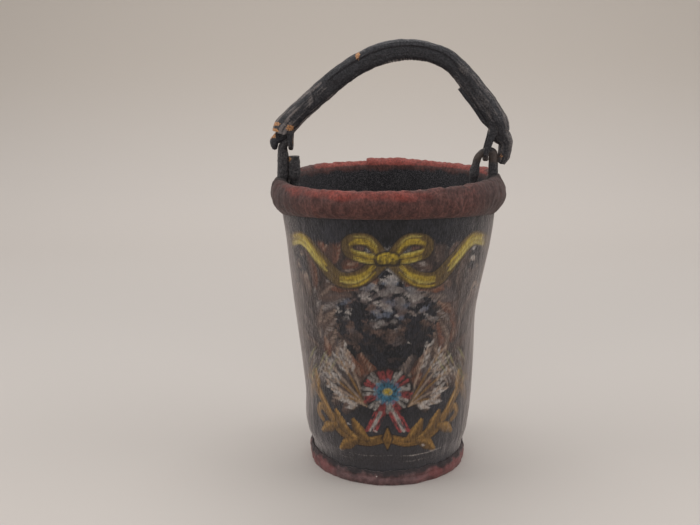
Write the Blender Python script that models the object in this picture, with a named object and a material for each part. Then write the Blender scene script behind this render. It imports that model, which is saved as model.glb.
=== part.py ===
"""Leather fire bucket: a tapered sewn body with a rolled rim, a foot band and a looped bail handle."""
import math

import bmesh
import bpy
from mathutils import Matrix, Vector

# Sizes in metres, +Z up, bucket axis on Z, foot on Z = 0
FIT_GAP = 0.0003

WALL_THICKNESS = 0.0050
WALL_FOOT_RADIUS = 0.0768
WALL_FOOT_TOP = 0.0180
WALL_SWELL_RADIUS = 0.0806
WALL_SWELL_HEIGHT = 0.0380
WALL_MID_RADIUS = 0.0894
WALL_MID_HEIGHT = 0.1450
WALL_TOP_RADIUS = 0.1066
WALL_TOP_HEIGHT = 0.2855
WALL_LEVELS = 13
ROUND_STEPS = 64

SEAM_HALF_ANGLE = math.radians(8.0)
SEAM_SPLIT = 0.47
SEAM_END_GAP = math.radians(0.4)
SEAM_ROW_OFFSET = 0.0065
SEAM_STITCHES = 16
THREAD_RADIUS = 0.0007
THREAD_HOLE_RADIUS = 0.0011

RIM_PROUD = 0.0084
RIM_DEPTH = 0.0340
RIM_COVER_THICKNESS = 0.0035
RIM_CROWN_SPACE = 0.0060
RIM_BULGE_DROP = 0.0140
RIM_ARC_STEPS = 4
RIM_RADIUS = WALL_TOP_RADIUS + RIM_PROUD
RIM_TOP = WALL_TOP_HEIGHT + RIM_CROWN_SPACE + RIM_COVER_THICKNESS
RIM_LIP_HEIGHT = RIM_TOP - RIM_DEPTH
RIM_BULGE_HEIGHT = RIM_TOP - RIM_BULGE_DROP
RIM_INNER_SHOULDER = WALL_TOP_HEIGHT + FIT_GAP

HOOP_DROP = 0.0083
HOOP_HALF_WIDTH = 0.0020
HOOP_HALF_DEPTH = 0.0075
HOOP_HEIGHT = WALL_TOP_HEIGHT - HOOP_DROP

BASE_THICKNESS = 0.0050
BASE_FLANGE_THICKNESS = 0.0040
BASE_FLANGE_TOP = WALL_FOOT_TOP - FIT_GAP

FOOT_BAND_THICKNESS = 0.0032
FOOT_BAND_HEIGHT = 0.0148
FOOT_BAND_ROUNDING = 0.0018

SEAM_FOOT_CLEARANCE = 0.0152
SEAM_RIM_CLEARANCE = 0.0090
SEAM_FIRST_STITCH = FOOT_BAND_HEIGHT + SEAM_FOOT_CLEARANCE
SEAM_LAST_STITCH = RIM_LIP_HEIGHT - SEAM_RIM_CLEARANCE

LOOP_RADIUS = 0.0037
BAR_RADIUS = 0.0043
STUB_RADIUS = 0.0048
LOOP_TAIL_LENGTH = 0.0110
LOOP_TAIL_GAP = 0.0011
LOOP_TAIL_BOTTOM = RIM_LIP_HEIGHT - 2 * WALL_THICKNESS / 3
LOOP_TAIL_TOP = LOOP_TAIL_BOTTOM + LOOP_TAIL_LENGTH
LOOP_SEAT_RADIUS = WALL_TOP_RADIUS - WALL_THICKNESS / 2
CROWN_HOLE_CLEARANCE = 0.0004
LUG_STITCH_HALF_WIDTH = 0.0065
LUG_STITCH_HEIGHT = RIM_LIP_HEIGHT + RIM_COVER_THICKNESS + FIT_GAP + 2 * THREAD_RADIUS

HANDLE_HALF_HEIGHT = 0.0090
HANDLE_HALF_DEPTH = 0.0055
CORE_HALF_HEIGHT = 0.0060
CORE_HALF_DEPTH = 0.0030
LOBE_HALF_DEPTH = 0.0050
LOBE_CLEARANCE = 0.0007
EYE_THICKNESS = 0.0032
EYE_HALF_WIDTH = 0.0028
EYE_LEG_HALF_WIDTH = 0.0052
EYE_LEG_RISE = 0.0380
EYE_SIDE_CLEARANCE = 0.0018
EYE_FOLD_STEPS = 10
EYE_LEG_STEPS = 6

RIGHT_PIVOT_RISE = 0.0220
RIGHT_LOOP_HALF_WIDTH = 0.0088
RIGHT_LOOP_BOW = 0.0024
RIGHT_OUTER_X = LOOP_SEAT_RADIUS
RIGHT_PIVOT_X = RIGHT_OUTER_X - RIGHT_LOOP_HALF_WIDTH
RIGHT_PIVOT_Z = RIM_TOP + RIGHT_PIVOT_RISE
RIGHT_LOBE_HALF_WIDTH = 0.0060
RIGHT_LOBE_DROP = 0.0110
RIGHT_LOBE_X = RIGHT_OUTER_X + LOOP_RADIUS + LOBE_CLEARANCE + RIGHT_LOBE_HALF_WIDTH
RIGHT_LOBE_TIP = RIGHT_PIVOT_Z - RIGHT_LOBE_DROP

LEFT_PIVOT_RISE = 0.0335
LEFT_BEND_RADIUS = 0.0070
LEFT_TORN_LENGTH = 0.0018
LEFT_BAR_X = -LOOP_SEAT_RADIUS
LEFT_PIVOT_X = LEFT_BAR_X + BAR_RADIUS + EYE_SIDE_CLEARANCE + EYE_HALF_WIDTH
LEFT_PIVOT_Z = RIM_TOP + LEFT_PIVOT_RISE
LEFT_TORN_END_X = LEFT_PIVOT_X + EYE_HALF_WIDTH + LEFT_TORN_LENGTH
LEFT_LOBE_HALF_WIDTH = 0.0034
LEFT_LOBE_DROP = 0.0070
LEFT_LOBE_X = LEFT_BAR_X - BAR_RADIUS - LOBE_CLEARANCE - LEFT_LOBE_HALF_WIDTH
LEFT_LOBE_TIP = LEFT_PIVOT_Z - LEFT_LOBE_DROP
STUB_SPACING = 0.0112
STUB_RISE = 0.0168
STUB_X = LEFT_BAR_X + STUB_SPACING
STUB_TOP = RIM_TOP + STUB_RISE

# The bail's bends, as shares of its span between the lobes and of its rise above the rim
HANDLE_RISE = 0.1215
HANDLE_BENDS = ((0.037, 0.395), (0.148, 0.575), (0.359, 0.880), (0.562, 1.000), (0.748, 0.917))
HANDLE_BENDS += ((0.884, 0.645), (0.974, 0.375))
LEFT_LOBE_LENGTH = 0.0125
RIGHT_LOBE_LENGTH = 0.0160
HANDLE_STATIONS = 42
COVER_LEFT_END = 0.075
COVER_RIGHT_END = 0.915
LAP_THICKNESS = 0.0042
LAP_HALF_DEPTH = 0.0046
LAP_START = 0.70
LAP_END = 0.89


def clear_scene():
    for obj in list(bpy.data.objects):
        bpy.data.objects.remove(obj, do_unlink=True)


def make_material(name, colour, roughness, metallic=0.0):
    mat = bpy.data.materials.new(name)
    mat.use_nodes = True
    shader = mat.node_tree.nodes["Principled BSDF"]
    shader.inputs["Base Color"].default_value = (*colour, 1.0)
    shader.inputs["Roughness"].default_value = roughness
    shader.inputs["Metallic"].default_value = metallic
    return mat


def add_object(name, bm, mat, smooth=True):
    bmesh.ops.remove_doubles(bm, verts=bm.verts, dist=1e-6)
    bmesh.ops.recalc_face_normals(bm, faces=bm.faces)
    mesh = bpy.data.meshes.new(name)
    for face in bm.faces:
        face.smooth = smooth
    bm.to_mesh(mesh)
    bm.free()
    obj = bpy.data.objects.new(name, mesh)
    bpy.context.scene.collection.objects.link(obj)
    if mat is not None:
        mesh.materials.append(mat)
    return obj


def cut(target, cutter):
    cutter.hide_render = True
    cutter.display_type = "WIRE"
    modifier = target.modifiers.new("holes", "BOOLEAN")
    modifier.operation = "DIFFERENCE"
    modifier.solver = "EXACT"
    modifier.object = cutter


def spin_section(name, section, mat):
    """Turn a closed section of (radius, height) points about the bucket axis."""
    bm = bmesh.new()
    verts = [bm.verts.new((radius, 0.0, height)) for radius, height in section]
    edges = [bm.edges.new((verts[i - 1], verts[i])) for i in range(len(verts))]
    bmesh.ops.spin(
        bm,
        geom=verts + edges,
        cent=(0.0, 0.0, 0.0),
        axis=(0.0, 0.0, 1.0),
        angle=2.0 * math.pi,
        steps=ROUND_STEPS,
        use_merge=True,
    )
    return add_object(name, bm, mat)


def skin_rings(name, rings, mat, closed=False):
    """Skin equal rings of points into one body, capped at both ends unless closed."""
    bm = bmesh.new()
    made = [[bm.verts.new(point) for point in ring] for ring in rings]
    count = len(rings[0])
    pairs = list(zip(made, made[1:]))
    if closed:
        pairs.append((made[-1], made[0]))
    for first, second in pairs:
        for i in range(count):
            j = (i + 1) % count
            bm.faces.new((first[i], first[j], second[j], second[i]))
    if not closed:
        bm.faces.new(made[0])
        bm.faces.new(made[-1])
    return add_object(name, bm, mat)


def smooth_path(points, steps):
    """Even-step curve through the points, as (x, z) pairs."""
    knots = [Vector(p) for p in points]
    knots = [2 * knots[0] - knots[1]] + knots + [2 * knots[-1] - knots[-2]]
    dense = []
    for i in range(1, len(knots) - 2):
        p0, p1, p2, p3 = knots[i - 1 : i + 3]
        for k in range(24):
            t = k / 24.0
            a = 2 * p1
            b = p2 - p0
            c = 2 * p0 - 5 * p1 + 4 * p2 - p3
            d = 3 * p1 - p0 - 3 * p2 + p3
            dense.append(0.5 * (a + b * t + c * t * t + d * t * t * t))
    dense.append(knots[-2])
    lengths = [0.0]
    for first, second in zip(dense, dense[1:]):
        lengths.append(lengths[-1] + (second - first).length)
    path = []
    j = 0
    for k in range(steps):
        want = lengths[-1] * k / (steps - 1)
        while j < len(lengths) - 2 and lengths[j + 1] < want:
            j += 1
        span = lengths[j + 1] - lengths[j]
        path.append(dense[j].lerp(dense[j + 1], (want - lengths[j]) / span))
    return path


def path_frames(path, closed=False):
    """Unit side vector of each path point, lengthened at corners so a tube keeps its width."""
    frames = []
    last = len(path) - 1
    for i, point in enumerate(path):
        before = path[i - 1] if (i > 0 or closed) else None
        after = path[(i + 1) % len(path)] if (i < last or closed) else None
        ahead = (after - point).normalized() if after is not None else (point - before).normalized()
        behind = (point - before).normalized() if before is not None else ahead
        run = (ahead + behind).normalized()
        side = Vector((-run.y, run.x))
        frames.append(side / max(run.dot(ahead), 0.5))
    return frames


def ring_at(centre, side, half_height, half_depth, count=12, power=1.0):
    """Oval ring in the plane of the side vector and the Y axis round an (x, z) centre."""
    ring = []
    for k in range(count):
        angle = 2.0 * math.pi * k / count
        across = math.copysign(abs(math.cos(angle)) ** power, math.cos(angle)) * half_height
        deep = math.copysign(abs(math.sin(angle)) ** power, math.sin(angle)) * half_depth
        point = centre + side * across
        ring.append((point.x, deep, point.y))
    return ring


def wall_outer(height):
    """Outer radius of the leather wall at a height."""
    if height <= WALL_FOOT_TOP:
        return WALL_FOOT_RADIUS
    if height < WALL_SWELL_HEIGHT:
        t = (height - WALL_FOOT_TOP) / (WALL_SWELL_HEIGHT - WALL_FOOT_TOP)
        return WALL_FOOT_RADIUS + (WALL_SWELL_RADIUS - WALL_FOOT_RADIUS) * t * t * (3 - 2 * t)
    low = (height - WALL_MID_HEIGHT) * (height - WALL_TOP_HEIGHT)
    low /= (WALL_SWELL_HEIGHT - WALL_MID_HEIGHT) * (WALL_SWELL_HEIGHT - WALL_TOP_HEIGHT)
    mid = (height - WALL_SWELL_HEIGHT) * (height - WALL_TOP_HEIGHT)
    mid /= (WALL_MID_HEIGHT - WALL_SWELL_HEIGHT) * (WALL_MID_HEIGHT - WALL_TOP_HEIGHT)
    top = (height - WALL_SWELL_HEIGHT) * (height - WALL_MID_HEIGHT)
    top /= (WALL_TOP_HEIGHT - WALL_SWELL_HEIGHT) * (WALL_TOP_HEIGHT - WALL_MID_HEIGHT)
    return low * WALL_SWELL_RADIUS + mid * WALL_MID_RADIUS + top * WALL_TOP_RADIUS


def wall_inner(height):
    return wall_outer(height) - WALL_THICKNESS


def seam_plan():
    """Plan of the rolled sheet as (angle, depth) points: two skived ends lap at the back."""
    back = math.pi / 2
    start = back - SEAM_HALF_ANGLE
    stop = back + SEAM_HALF_ANGLE
    turn = 2.0 * math.pi
    under = SEAM_SPLIT
    over = 1.0 - SEAM_SPLIT
    step = turn / ROUND_STEPS
    count = int((turn - 2 * SEAM_HALF_ANGLE) / step)
    body = [stop + (turn - 2 * SEAM_HALF_ANGLE) * k / count for k in range(count + 1)]
    lap = [start + 2 * SEAM_HALF_ANGLE * k / 4 for k in range(5)]
    plan = [(start + SEAM_END_GAP, 1.0)]
    plan += [(angle, 1.0) for angle in lap[1:-1]]
    plan += [(angle, 1.0) for angle in body]
    plan += [(turn + angle, under) for angle in lap[:-1]]
    plan += [(turn + stop - SEAM_END_GAP, under), (turn + stop - SEAM_END_GAP, 0.0)]
    plan += [(turn + angle, 0.0) for angle in reversed(lap[1:-1])]
    plan += [(angle, 0.0) for angle in reversed(body)]
    plan += [(angle, over) for angle in reversed(lap[1:])]
    plan += [(start + SEAM_END_GAP, over)]
    return plan


def build_wall(mat):
    plan = seam_plan()
    heights = [0.0, WALL_FOOT_TOP]
    rise = WALL_SWELL_HEIGHT - WALL_FOOT_TOP
    heights += [WALL_FOOT_TOP + rise * k / 3 for k in (1, 2, 3)]
    span = WALL_TOP_HEIGHT - WALL_SWELL_HEIGHT
    upper = WALL_LEVELS - len(heights)
    heights += [WALL_SWELL_HEIGHT + span * (k + 1) / upper for k in range(upper)]
    rings = []
    for height in heights:
        inner = wall_inner(height)
        ring = []
        for angle, depth in plan:
            radius = inner + WALL_THICKNESS * depth
            ring.append((radius * math.cos(angle), radius * math.sin(angle), height))
        rings.append(ring)
    return skin_rings("body_wall", rings, mat)


def hole_rods(name, ends):
    """One hidden cutter of round rods, each from one end point to the other."""
    bm = bmesh.new()
    for first, second in ends:
        run = Vector(second) - Vector(first)
        made = bmesh.ops.create_cone(
            bm,
            cap_ends=True,
            segments=8,
            radius1=THREAD_HOLE_RADIUS,
            radius2=THREAD_HOLE_RADIUS,
            depth=run.length,
        )
        turn = run.to_track_quat("Z", "Y").to_matrix()
        bmesh.ops.rotate(bm, verts=made["verts"], cent=(0, 0, 0), matrix=turn)
        bmesh.ops.translate(bm, verts=made["verts"], vec=(Vector(first) + Vector(second)) / 2)
    return add_object(name, bm, None, smooth=False)


def stitch_heights():
    step = (SEAM_LAST_STITCH - SEAM_FIRST_STITCH) / (SEAM_STITCHES - 1)
    return [SEAM_FIRST_STITCH + step * k for k in range(SEAM_STITCHES)]


def seam_depth(radius, offset):
    """Distance back to a round surface at a sideways offset from the seam line."""
    return math.sqrt(radius * radius - offset * offset)


def build_seam_row(name, offset, mat):
    """Running stitch up the back lap, in and out of the wall."""
    proud = THREAD_RADIUS + FIT_GAP
    path = []
    for k, height in enumerate(stitch_heights()):
        inside = Vector((seam_depth(wall_inner(height), offset) - proud, height))
        outside = Vector((seam_depth(wall_outer(height), offset) + proud, height))
        path += [inside, outside] if k % 2 == 0 else [outside, inside]
    rings = []
    for point, side in zip(path, path_frames(path)):
        ring = []
        for k in range(6):
            angle = 2.0 * math.pi * k / 6
            spot = point + side * (THREAD_RADIUS * math.cos(angle))
            ring.append((offset + THREAD_RADIUS * math.sin(angle), spot.x, spot.y))
        rings.append(ring)
    return skin_rings(name, rings, mat)


def seam_rods():
    ends = []
    reach = 2 * WALL_THICKNESS
    for offset in (-SEAM_ROW_OFFSET, SEAM_ROW_OFFSET):
        for height in stitch_heights():
            depth = seam_depth(wall_outer(height), offset)
            ends.append(((offset, depth - reach, height), (offset, depth + WALL_THICKNESS, height)))
    return ends


def quarter(start, stop, centre):
    """Points of a quarter oval between two points that lie level with or plumb to its centre."""
    points = []
    for k in range(1, RIM_ARC_STEPS + 1):
        angle = 0.5 * math.pi * k / RIM_ARC_STEPS
        radius = centre[0] + (start[0] - centre[0]) * math.cos(angle) + (stop[0] - centre[0]) * math.sin(angle)
        height = centre[1] + (start[1] - centre[1]) * math.cos(angle) + (stop[1] - centre[1]) * math.sin(angle)
        points.append((radius, height))
    return points


def rim_outline(inset):
    """One face of the folded rim leather, from the inner leg over the crown to the lip."""
    leg = FIT_GAP + RIM_COVER_THICKNESS - inset
    foot = (wall_inner(RIM_LIP_HEIGHT) - leg, RIM_LIP_HEIGHT)
    shoulder = (wall_inner(RIM_INNER_SHOULDER) - leg, RIM_INNER_SHOULDER)
    crown = ((wall_inner(RIM_INNER_SHOULDER) + RIM_RADIUS) / 2 - RIM_COVER_THICKNESS / 2, RIM_TOP - inset)
    bulge = (RIM_RADIUS - inset, RIM_BULGE_HEIGHT)
    lip_height = RIM_LIP_HEIGHT + inset
    lip = (wall_outer(lip_height) + FIT_GAP, lip_height)
    points = [foot, shoulder]
    points += quarter(shoulder, crown, (crown[0], shoulder[1]))
    points += quarter(crown, bulge, (crown[0], bulge[1]))
    points += quarter(bulge, lip, (lip[0], bulge[1]))
    return points


def build_rim(leather, iron):
    section = rim_outline(0.0) + list(reversed(rim_outline(RIM_COVER_THICKNESS)))
    cover = spin_section("rim_cover", section, leather)
    hoop = []
    for k in range(12):
        angle = 2.0 * math.pi * k / 12
        height = HOOP_HEIGHT + HOOP_HALF_DEPTH * math.sin(angle)
        middle = wall_outer(height) + FIT_GAP + HOOP_HALF_WIDTH
        hoop.append((middle + HOOP_HALF_WIDTH * math.cos(angle), height))
    spin_section("rim_hoop", hoop, iron)
    return cover


def build_base(mat):
    rim = wall_inner(0.0) - FIT_GAP
    inner = rim - BASE_FLANGE_THICKNESS
    bm = bmesh.new()
    section = [(0.0, 0.0), (rim, 0.0), (rim, BASE_FLANGE_TOP), (inner, BASE_FLANGE_TOP)]
    section += [(inner, BASE_THICKNESS), (0.0, BASE_THICKNESS)]
    verts = [bm.verts.new((radius, 0.0, height)) for radius, height in section]
    edges = [bm.edges.new((first, second)) for first, second in zip(verts, verts[1:])]
    bmesh.ops.spin(
        bm,
        geom=verts + edges,
        cent=(0.0, 0.0, 0.0),
        axis=(0.0, 0.0, 1.0),
        angle=2.0 * math.pi,
        steps=ROUND_STEPS,
        use_merge=True,
    )
    return add_object("base_pan", bm, mat, smooth=False)


def build_foot_band(mat):
    inner = WALL_FOOT_RADIUS + FIT_GAP
    outer = inner + FOOT_BAND_THICKNESS
    soft = FOOT_BAND_ROUNDING
    section = [(inner, 0.0), (outer - soft / 2, 0.0), (outer, soft), (outer, FOOT_BAND_HEIGHT / 2)]
    section += [(outer - soft / 3, FOOT_BAND_HEIGHT - soft), (outer - soft, FOOT_BAND_HEIGHT)]
    section += [(inner, FOOT_BAND_HEIGHT)]
    return spin_section("foot_band", section, mat)


def thong(name, points, radius, steps, mat):
    path = smooth_path(points, steps)
    rings = [ring_at(c, s, radius, radius, 10) for c, s in zip(path, path_frames(path))]
    return skin_rings(name, rings, mat)


def tail_x(height, radius):
    """Centre of a thong lying on the inner leg of the rim leather."""
    return wall_inner(height) - LOOP_TAIL_GAP - RIM_COVER_THICKNESS - radius


def build_loops(mat):
    """Right loop over the rim, the left loop torn open, and the stub of its inner leg."""
    seat = WALL_TOP_HEIGHT + FIT_GAP
    arch = RIGHT_LOOP_HALF_WIDTH
    spring = RIGHT_PIVOT_Z - arch
    slant = arch * math.sqrt(0.5)
    inner = RIGHT_PIVOT_X - arch
    right = [(tail_x(LOOP_TAIL_BOTTOM, LOOP_RADIUS), LOOP_TAIL_BOTTOM)]
    right += [(tail_x(LOOP_TAIL_TOP, LOOP_RADIUS), LOOP_TAIL_TOP)]
    right += [(inner - RIGHT_LOOP_BOW / 2, RIM_INNER_SHOULDER), (inner - RIGHT_LOOP_BOW, RIM_TOP)]
    right += [(inner, spring), (RIGHT_PIVOT_X - slant, spring + slant)]
    right += [(RIGHT_PIVOT_X, RIGHT_PIVOT_Z), (RIGHT_PIVOT_X + slant, spring + slant)]
    right += [(RIGHT_OUTER_X, spring), (RIGHT_OUTER_X, RIM_TOP), (RIGHT_OUTER_X, seat)]
    thong("lug_loop_right", right, LOOP_RADIUS, 34, mat)
    bend = LEFT_BEND_RADIUS
    drop = bend * (1 - math.sqrt(0.5))
    left = [(LEFT_BAR_X, seat), (LEFT_BAR_X, RIM_TOP), (LEFT_BAR_X, LEFT_PIVOT_Z - 2 * bend)]
    left += [(LEFT_BAR_X, LEFT_PIVOT_Z - bend), (LEFT_BAR_X + drop, LEFT_PIVOT_Z - drop)]
    left += [(LEFT_BAR_X + bend, LEFT_PIVOT_Z), (LEFT_TORN_END_X, LEFT_PIVOT_Z)]
    thong("lug_loop_left", left, BAR_RADIUS, 26, mat)
    stub = [(-tail_x(LOOP_TAIL_BOTTOM, STUB_RADIUS), LOOP_TAIL_BOTTOM)]
    stub += [(-tail_x(LOOP_TAIL_TOP, STUB_RADIUS), LOOP_TAIL_TOP)]
    stub += [(STUB_X, RIM_INNER_SHOULDER), (STUB_X, RIM_TOP), (STUB_X, STUB_TOP)]
    thong("lug_stub_left", stub, STUB_RADIUS, 14, mat)


def stitch_span(side, radius):
    """Inner and outer reach of the stitch that ties a loop tail through the wall."""
    height = LUG_STITCH_HEIGHT
    inside = tail_x(height, radius) - radius - FIT_GAP - THREAD_RADIUS
    outside = wall_outer(height) + FIT_GAP + THREAD_RADIUS
    return side * inside, side * outside


def build_lug_stitch(name, side, radius, mat):
    near, far = stitch_span(side, radius)
    half = LUG_STITCH_HALF_WIDTH
    path = [Vector((near, -half)), Vector((far, -half)), Vector((far, half)), Vector((near, half))]
    rings = []
    for point, turn in zip(path, path_frames(path, closed=True)):
        ring = []
        for k in range(6):
            angle = 2.0 * math.pi * k / 6
            spot = point + turn * (THREAD_RADIUS * math.cos(angle))
            ring.append((spot.x, spot.y, LUG_STITCH_HEIGHT + THREAD_RADIUS * math.sin(angle)))
        rings.append(ring)
    return skin_rings(name, rings, mat, closed=True)


def lug_rods():
    ends = []
    for side, radius in ((-1, STUB_RADIUS), (1, LOOP_RADIUS)):
        near, far = stitch_span(side, radius)
        for half in (-LUG_STITCH_HALF_WIDTH, LUG_STITCH_HALF_WIDTH):
            ends.append(((near, half, LUG_STITCH_HEIGHT), (far, half, LUG_STITCH_HEIGHT)))
    return ends


def crown_rods():
    """Cutter for the two crown holes that the outer loop legs stand in."""
    bm = bmesh.new()
    reach = RIM_TOP - WALL_TOP_HEIGHT
    for x, radius in ((LEFT_BAR_X, BAR_RADIUS), (RIGHT_OUTER_X, LOOP_RADIUS)):
        made = bmesh.ops.create_cone(
            bm,
            cap_ends=True,
            segments=16,
            radius1=radius + CROWN_HOLE_CLEARANCE,
            radius2=radius + CROWN_HOLE_CLEARANCE,
            depth=2 * reach,
        )
        bmesh.ops.translate(bm, verts=made["verts"], vec=(x, 0.0, WALL_TOP_HEIGHT + reach))
    return add_object("crown_hole_cutter", bm, None, smooth=False)


def handle_path():
    """Centre line of the bail, from the left lobe over the arch to the right lobe, as (x, z)."""
    span = RIGHT_LOBE_X - LEFT_LOBE_X
    points = [(LEFT_LOBE_X, LEFT_LOBE_TIP), (LEFT_LOBE_X, LEFT_LOBE_TIP + LEFT_LOBE_LENGTH)]
    points += [(LEFT_LOBE_X + span * across, RIM_TOP + HANDLE_RISE * up) for across, up in HANDLE_BENDS]
    points += [(RIGHT_LOBE_X, RIGHT_LOBE_TIP + RIGHT_LOBE_LENGTH), (RIGHT_LOBE_X, RIGHT_LOBE_TIP)]
    return smooth_path(points, HANDLE_STATIONS)


def build_handle(cover_mat, core_mat):
    path = handle_path()
    frames = path_frames(path)
    last = len(path) - 1
    rings = []
    for i, (centre, side) in enumerate(zip(path, frames)):
        left = max(0.0, 1.0 - i / (COVER_LEFT_END * last))
        right = max(0.0, 1.0 - (last - i) / ((1.0 - COVER_RIGHT_END) * last))
        half = CORE_HALF_HEIGHT + (LEFT_LOBE_HALF_WIDTH - CORE_HALF_HEIGHT) * left
        half += (RIGHT_LOBE_HALF_WIDTH - CORE_HALF_HEIGHT) * right
        deep = CORE_HALF_DEPTH + (LOBE_HALF_DEPTH - CORE_HALF_DEPTH) * min(1.0, 2 * max(left, right))
        tip = 0.75 if i in (0, last) else 1.0
        rings.append(ring_at(centre, side, half * tip, deep * tip, 12, 0.8))
    core = skin_rings("handle_core", rings, core_mat)
    first = math.ceil(COVER_LEFT_END * last)
    stop = math.floor(COVER_RIGHT_END * last)
    outside = []
    inside = []
    for centre, side in zip(path[first : stop + 1], frames[first : stop + 1]):
        outside.append(ring_at(centre, side, HANDLE_HALF_HEIGHT, HANDLE_HALF_DEPTH, 16, 0.8))
        bore_height = CORE_HALF_HEIGHT + FIT_GAP
        inside.append(ring_at(centre, side, bore_height, CORE_HALF_DEPTH + FIT_GAP, 16, 0.8))
    cover = skin_rings("handle_cover", outside + list(reversed(inside)), cover_mat, closed=True)
    start = round(LAP_START * last)
    finish = round(LAP_END * last)
    drop = HANDLE_HALF_HEIGHT + FIT_GAP + LAP_THICKNESS / 2
    rings = []
    for centre, side in zip(path[start : finish + 1], frames[start : finish + 1]):
        middle = centre - side * drop
        rings.append(ring_at(middle, side, LAP_THICKNESS / 2, LAP_HALF_DEPTH, 12, 0.5))
    lap = skin_rings("handle_lap", rings, cover_mat)
    return [core, cover, lap]


def build_eye(name, pivot, rise_to, mat):
    """Strap folded under a loop's top, its two legs lying on the front and back of the handle."""
    inner = HANDLE_HALF_DEPTH + FIT_GAP
    middle = inner + EYE_THICKNESS / 2
    half = EYE_THICKNESS / 2
    stations = []
    for k in range(EYE_LEG_STEPS, 0, -1):
        t = k / EYE_LEG_STEPS
        centre = Vector(pivot).lerp(Vector(rise_to), t)
        wide = EYE_HALF_WIDTH + (EYE_LEG_HALF_WIDTH - EYE_HALF_WIDTH) * t
        stations.append((centre, wide, math.pi))
    for k in range(EYE_FOLD_STEPS + 1):
        stations.append((Vector(pivot), EYE_HALF_WIDTH, math.pi * (1.0 + k / EYE_FOLD_STEPS)))
    for k in range(1, EYE_LEG_STEPS + 1):
        t = k / EYE_LEG_STEPS
        centre = Vector(pivot).lerp(Vector(rise_to), t)
        wide = EYE_HALF_WIDTH + (EYE_LEG_HALF_WIDTH - EYE_HALF_WIDTH) * t
        stations.append((centre, wide, 2.0 * math.pi))
    rings = []
    for centre, wide, angle in stations:
        ring = []
        for across, lift in ((-wide, -half), (wide, -half), (wide, half), (-wide, half)):
            reach = middle + lift
            ring.append((centre.x + across, reach * math.cos(angle), centre.y + reach * math.sin(angle)))
        rings.append(ring)
    return skin_rings(name, rings, mat)


def hang_on_pivot(pieces):
    """Parent the moving pieces to an empty on the line through both eyes."""
    pivot = bpy.data.objects.new("handle_pivot", None)
    middle_x = (LEFT_PIVOT_X + RIGHT_PIVOT_X) / 2
    pivot.location = (middle_x, 0.0, (LEFT_PIVOT_Z + RIGHT_PIVOT_Z) / 2)
    bpy.context.scene.collection.objects.link(pivot)
    for piece in pieces:
        piece.parent = pivot
        piece.matrix_parent_inverse = Matrix.Translation(pivot.location).inverted()


def build():
    clear_scene()
    black = make_material("black_leather", (0.035, 0.033, 0.034), 0.55)
    red = make_material("red_leather", (0.23, 0.065, 0.050), 0.60)
    dull_red = make_material("dull_red_leather", (0.17, 0.055, 0.050), 0.65)
    brown = make_material("worn_brown_leather", (0.060, 0.045, 0.038), 0.60)
    raw = make_material("raw_leather", (0.20, 0.11, 0.055), 0.75)
    linen = make_material("waxed_linen", (0.30, 0.25, 0.18), 0.80)
    iron = make_material("iron", (0.16, 0.15, 0.14), 0.55, 1.0)
    wall = build_wall(black)
    build_seam_row("seam_thread_left", SEAM_ROW_OFFSET, linen)
    build_seam_row("seam_thread_right", -SEAM_ROW_OFFSET, linen)
    cover = build_rim(red, iron)
    build_base(black)
    build_foot_band(dull_red)
    build_loops(brown)
    build_lug_stitch("lug_thread_left", -1, STUB_RADIUS, linen)
    build_lug_stitch("lug_thread_right", 1, LOOP_RADIUS, linen)
    cut(wall, hole_rods("seam_hole_cutter", seam_rods() + lug_rods()))
    cut(cover, hole_rods("lug_hole_cutter", lug_rods()))
    cut(cover, crown_rods())
    handle = build_handle(black, raw)
    left_rise = (LEFT_PIVOT_X + EYE_LEG_RISE / 4, LEFT_PIVOT_Z + EYE_LEG_RISE)
    right_rise = (RIGHT_PIVOT_X + EYE_LEG_RISE / 16, RIGHT_PIVOT_Z + EYE_LEG_RISE)
    handle.append(build_eye("handle_eye_left", (LEFT_PIVOT_X, LEFT_PIVOT_Z), left_rise, black))
    handle.append(build_eye("handle_eye_right", (RIGHT_PIVOT_X, RIGHT_PIVOT_Z), right_rise, black))
    hang_on_pivot(handle)


build()
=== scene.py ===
# %% [markdown]
# # A painted leather fire bucket
# Fire companies once kept rows of leather buckets: a body of stiff hide rolled and sewn up the back, a round leather
# bottom, a rolled rim over a hoop and a bail hung on two leather loops.
# Such a bucket could be modelled in one go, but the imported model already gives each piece's place and the way the
# bail swings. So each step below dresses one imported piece, which then rides with the body it belongs to.

# %% The frame
import math

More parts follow.
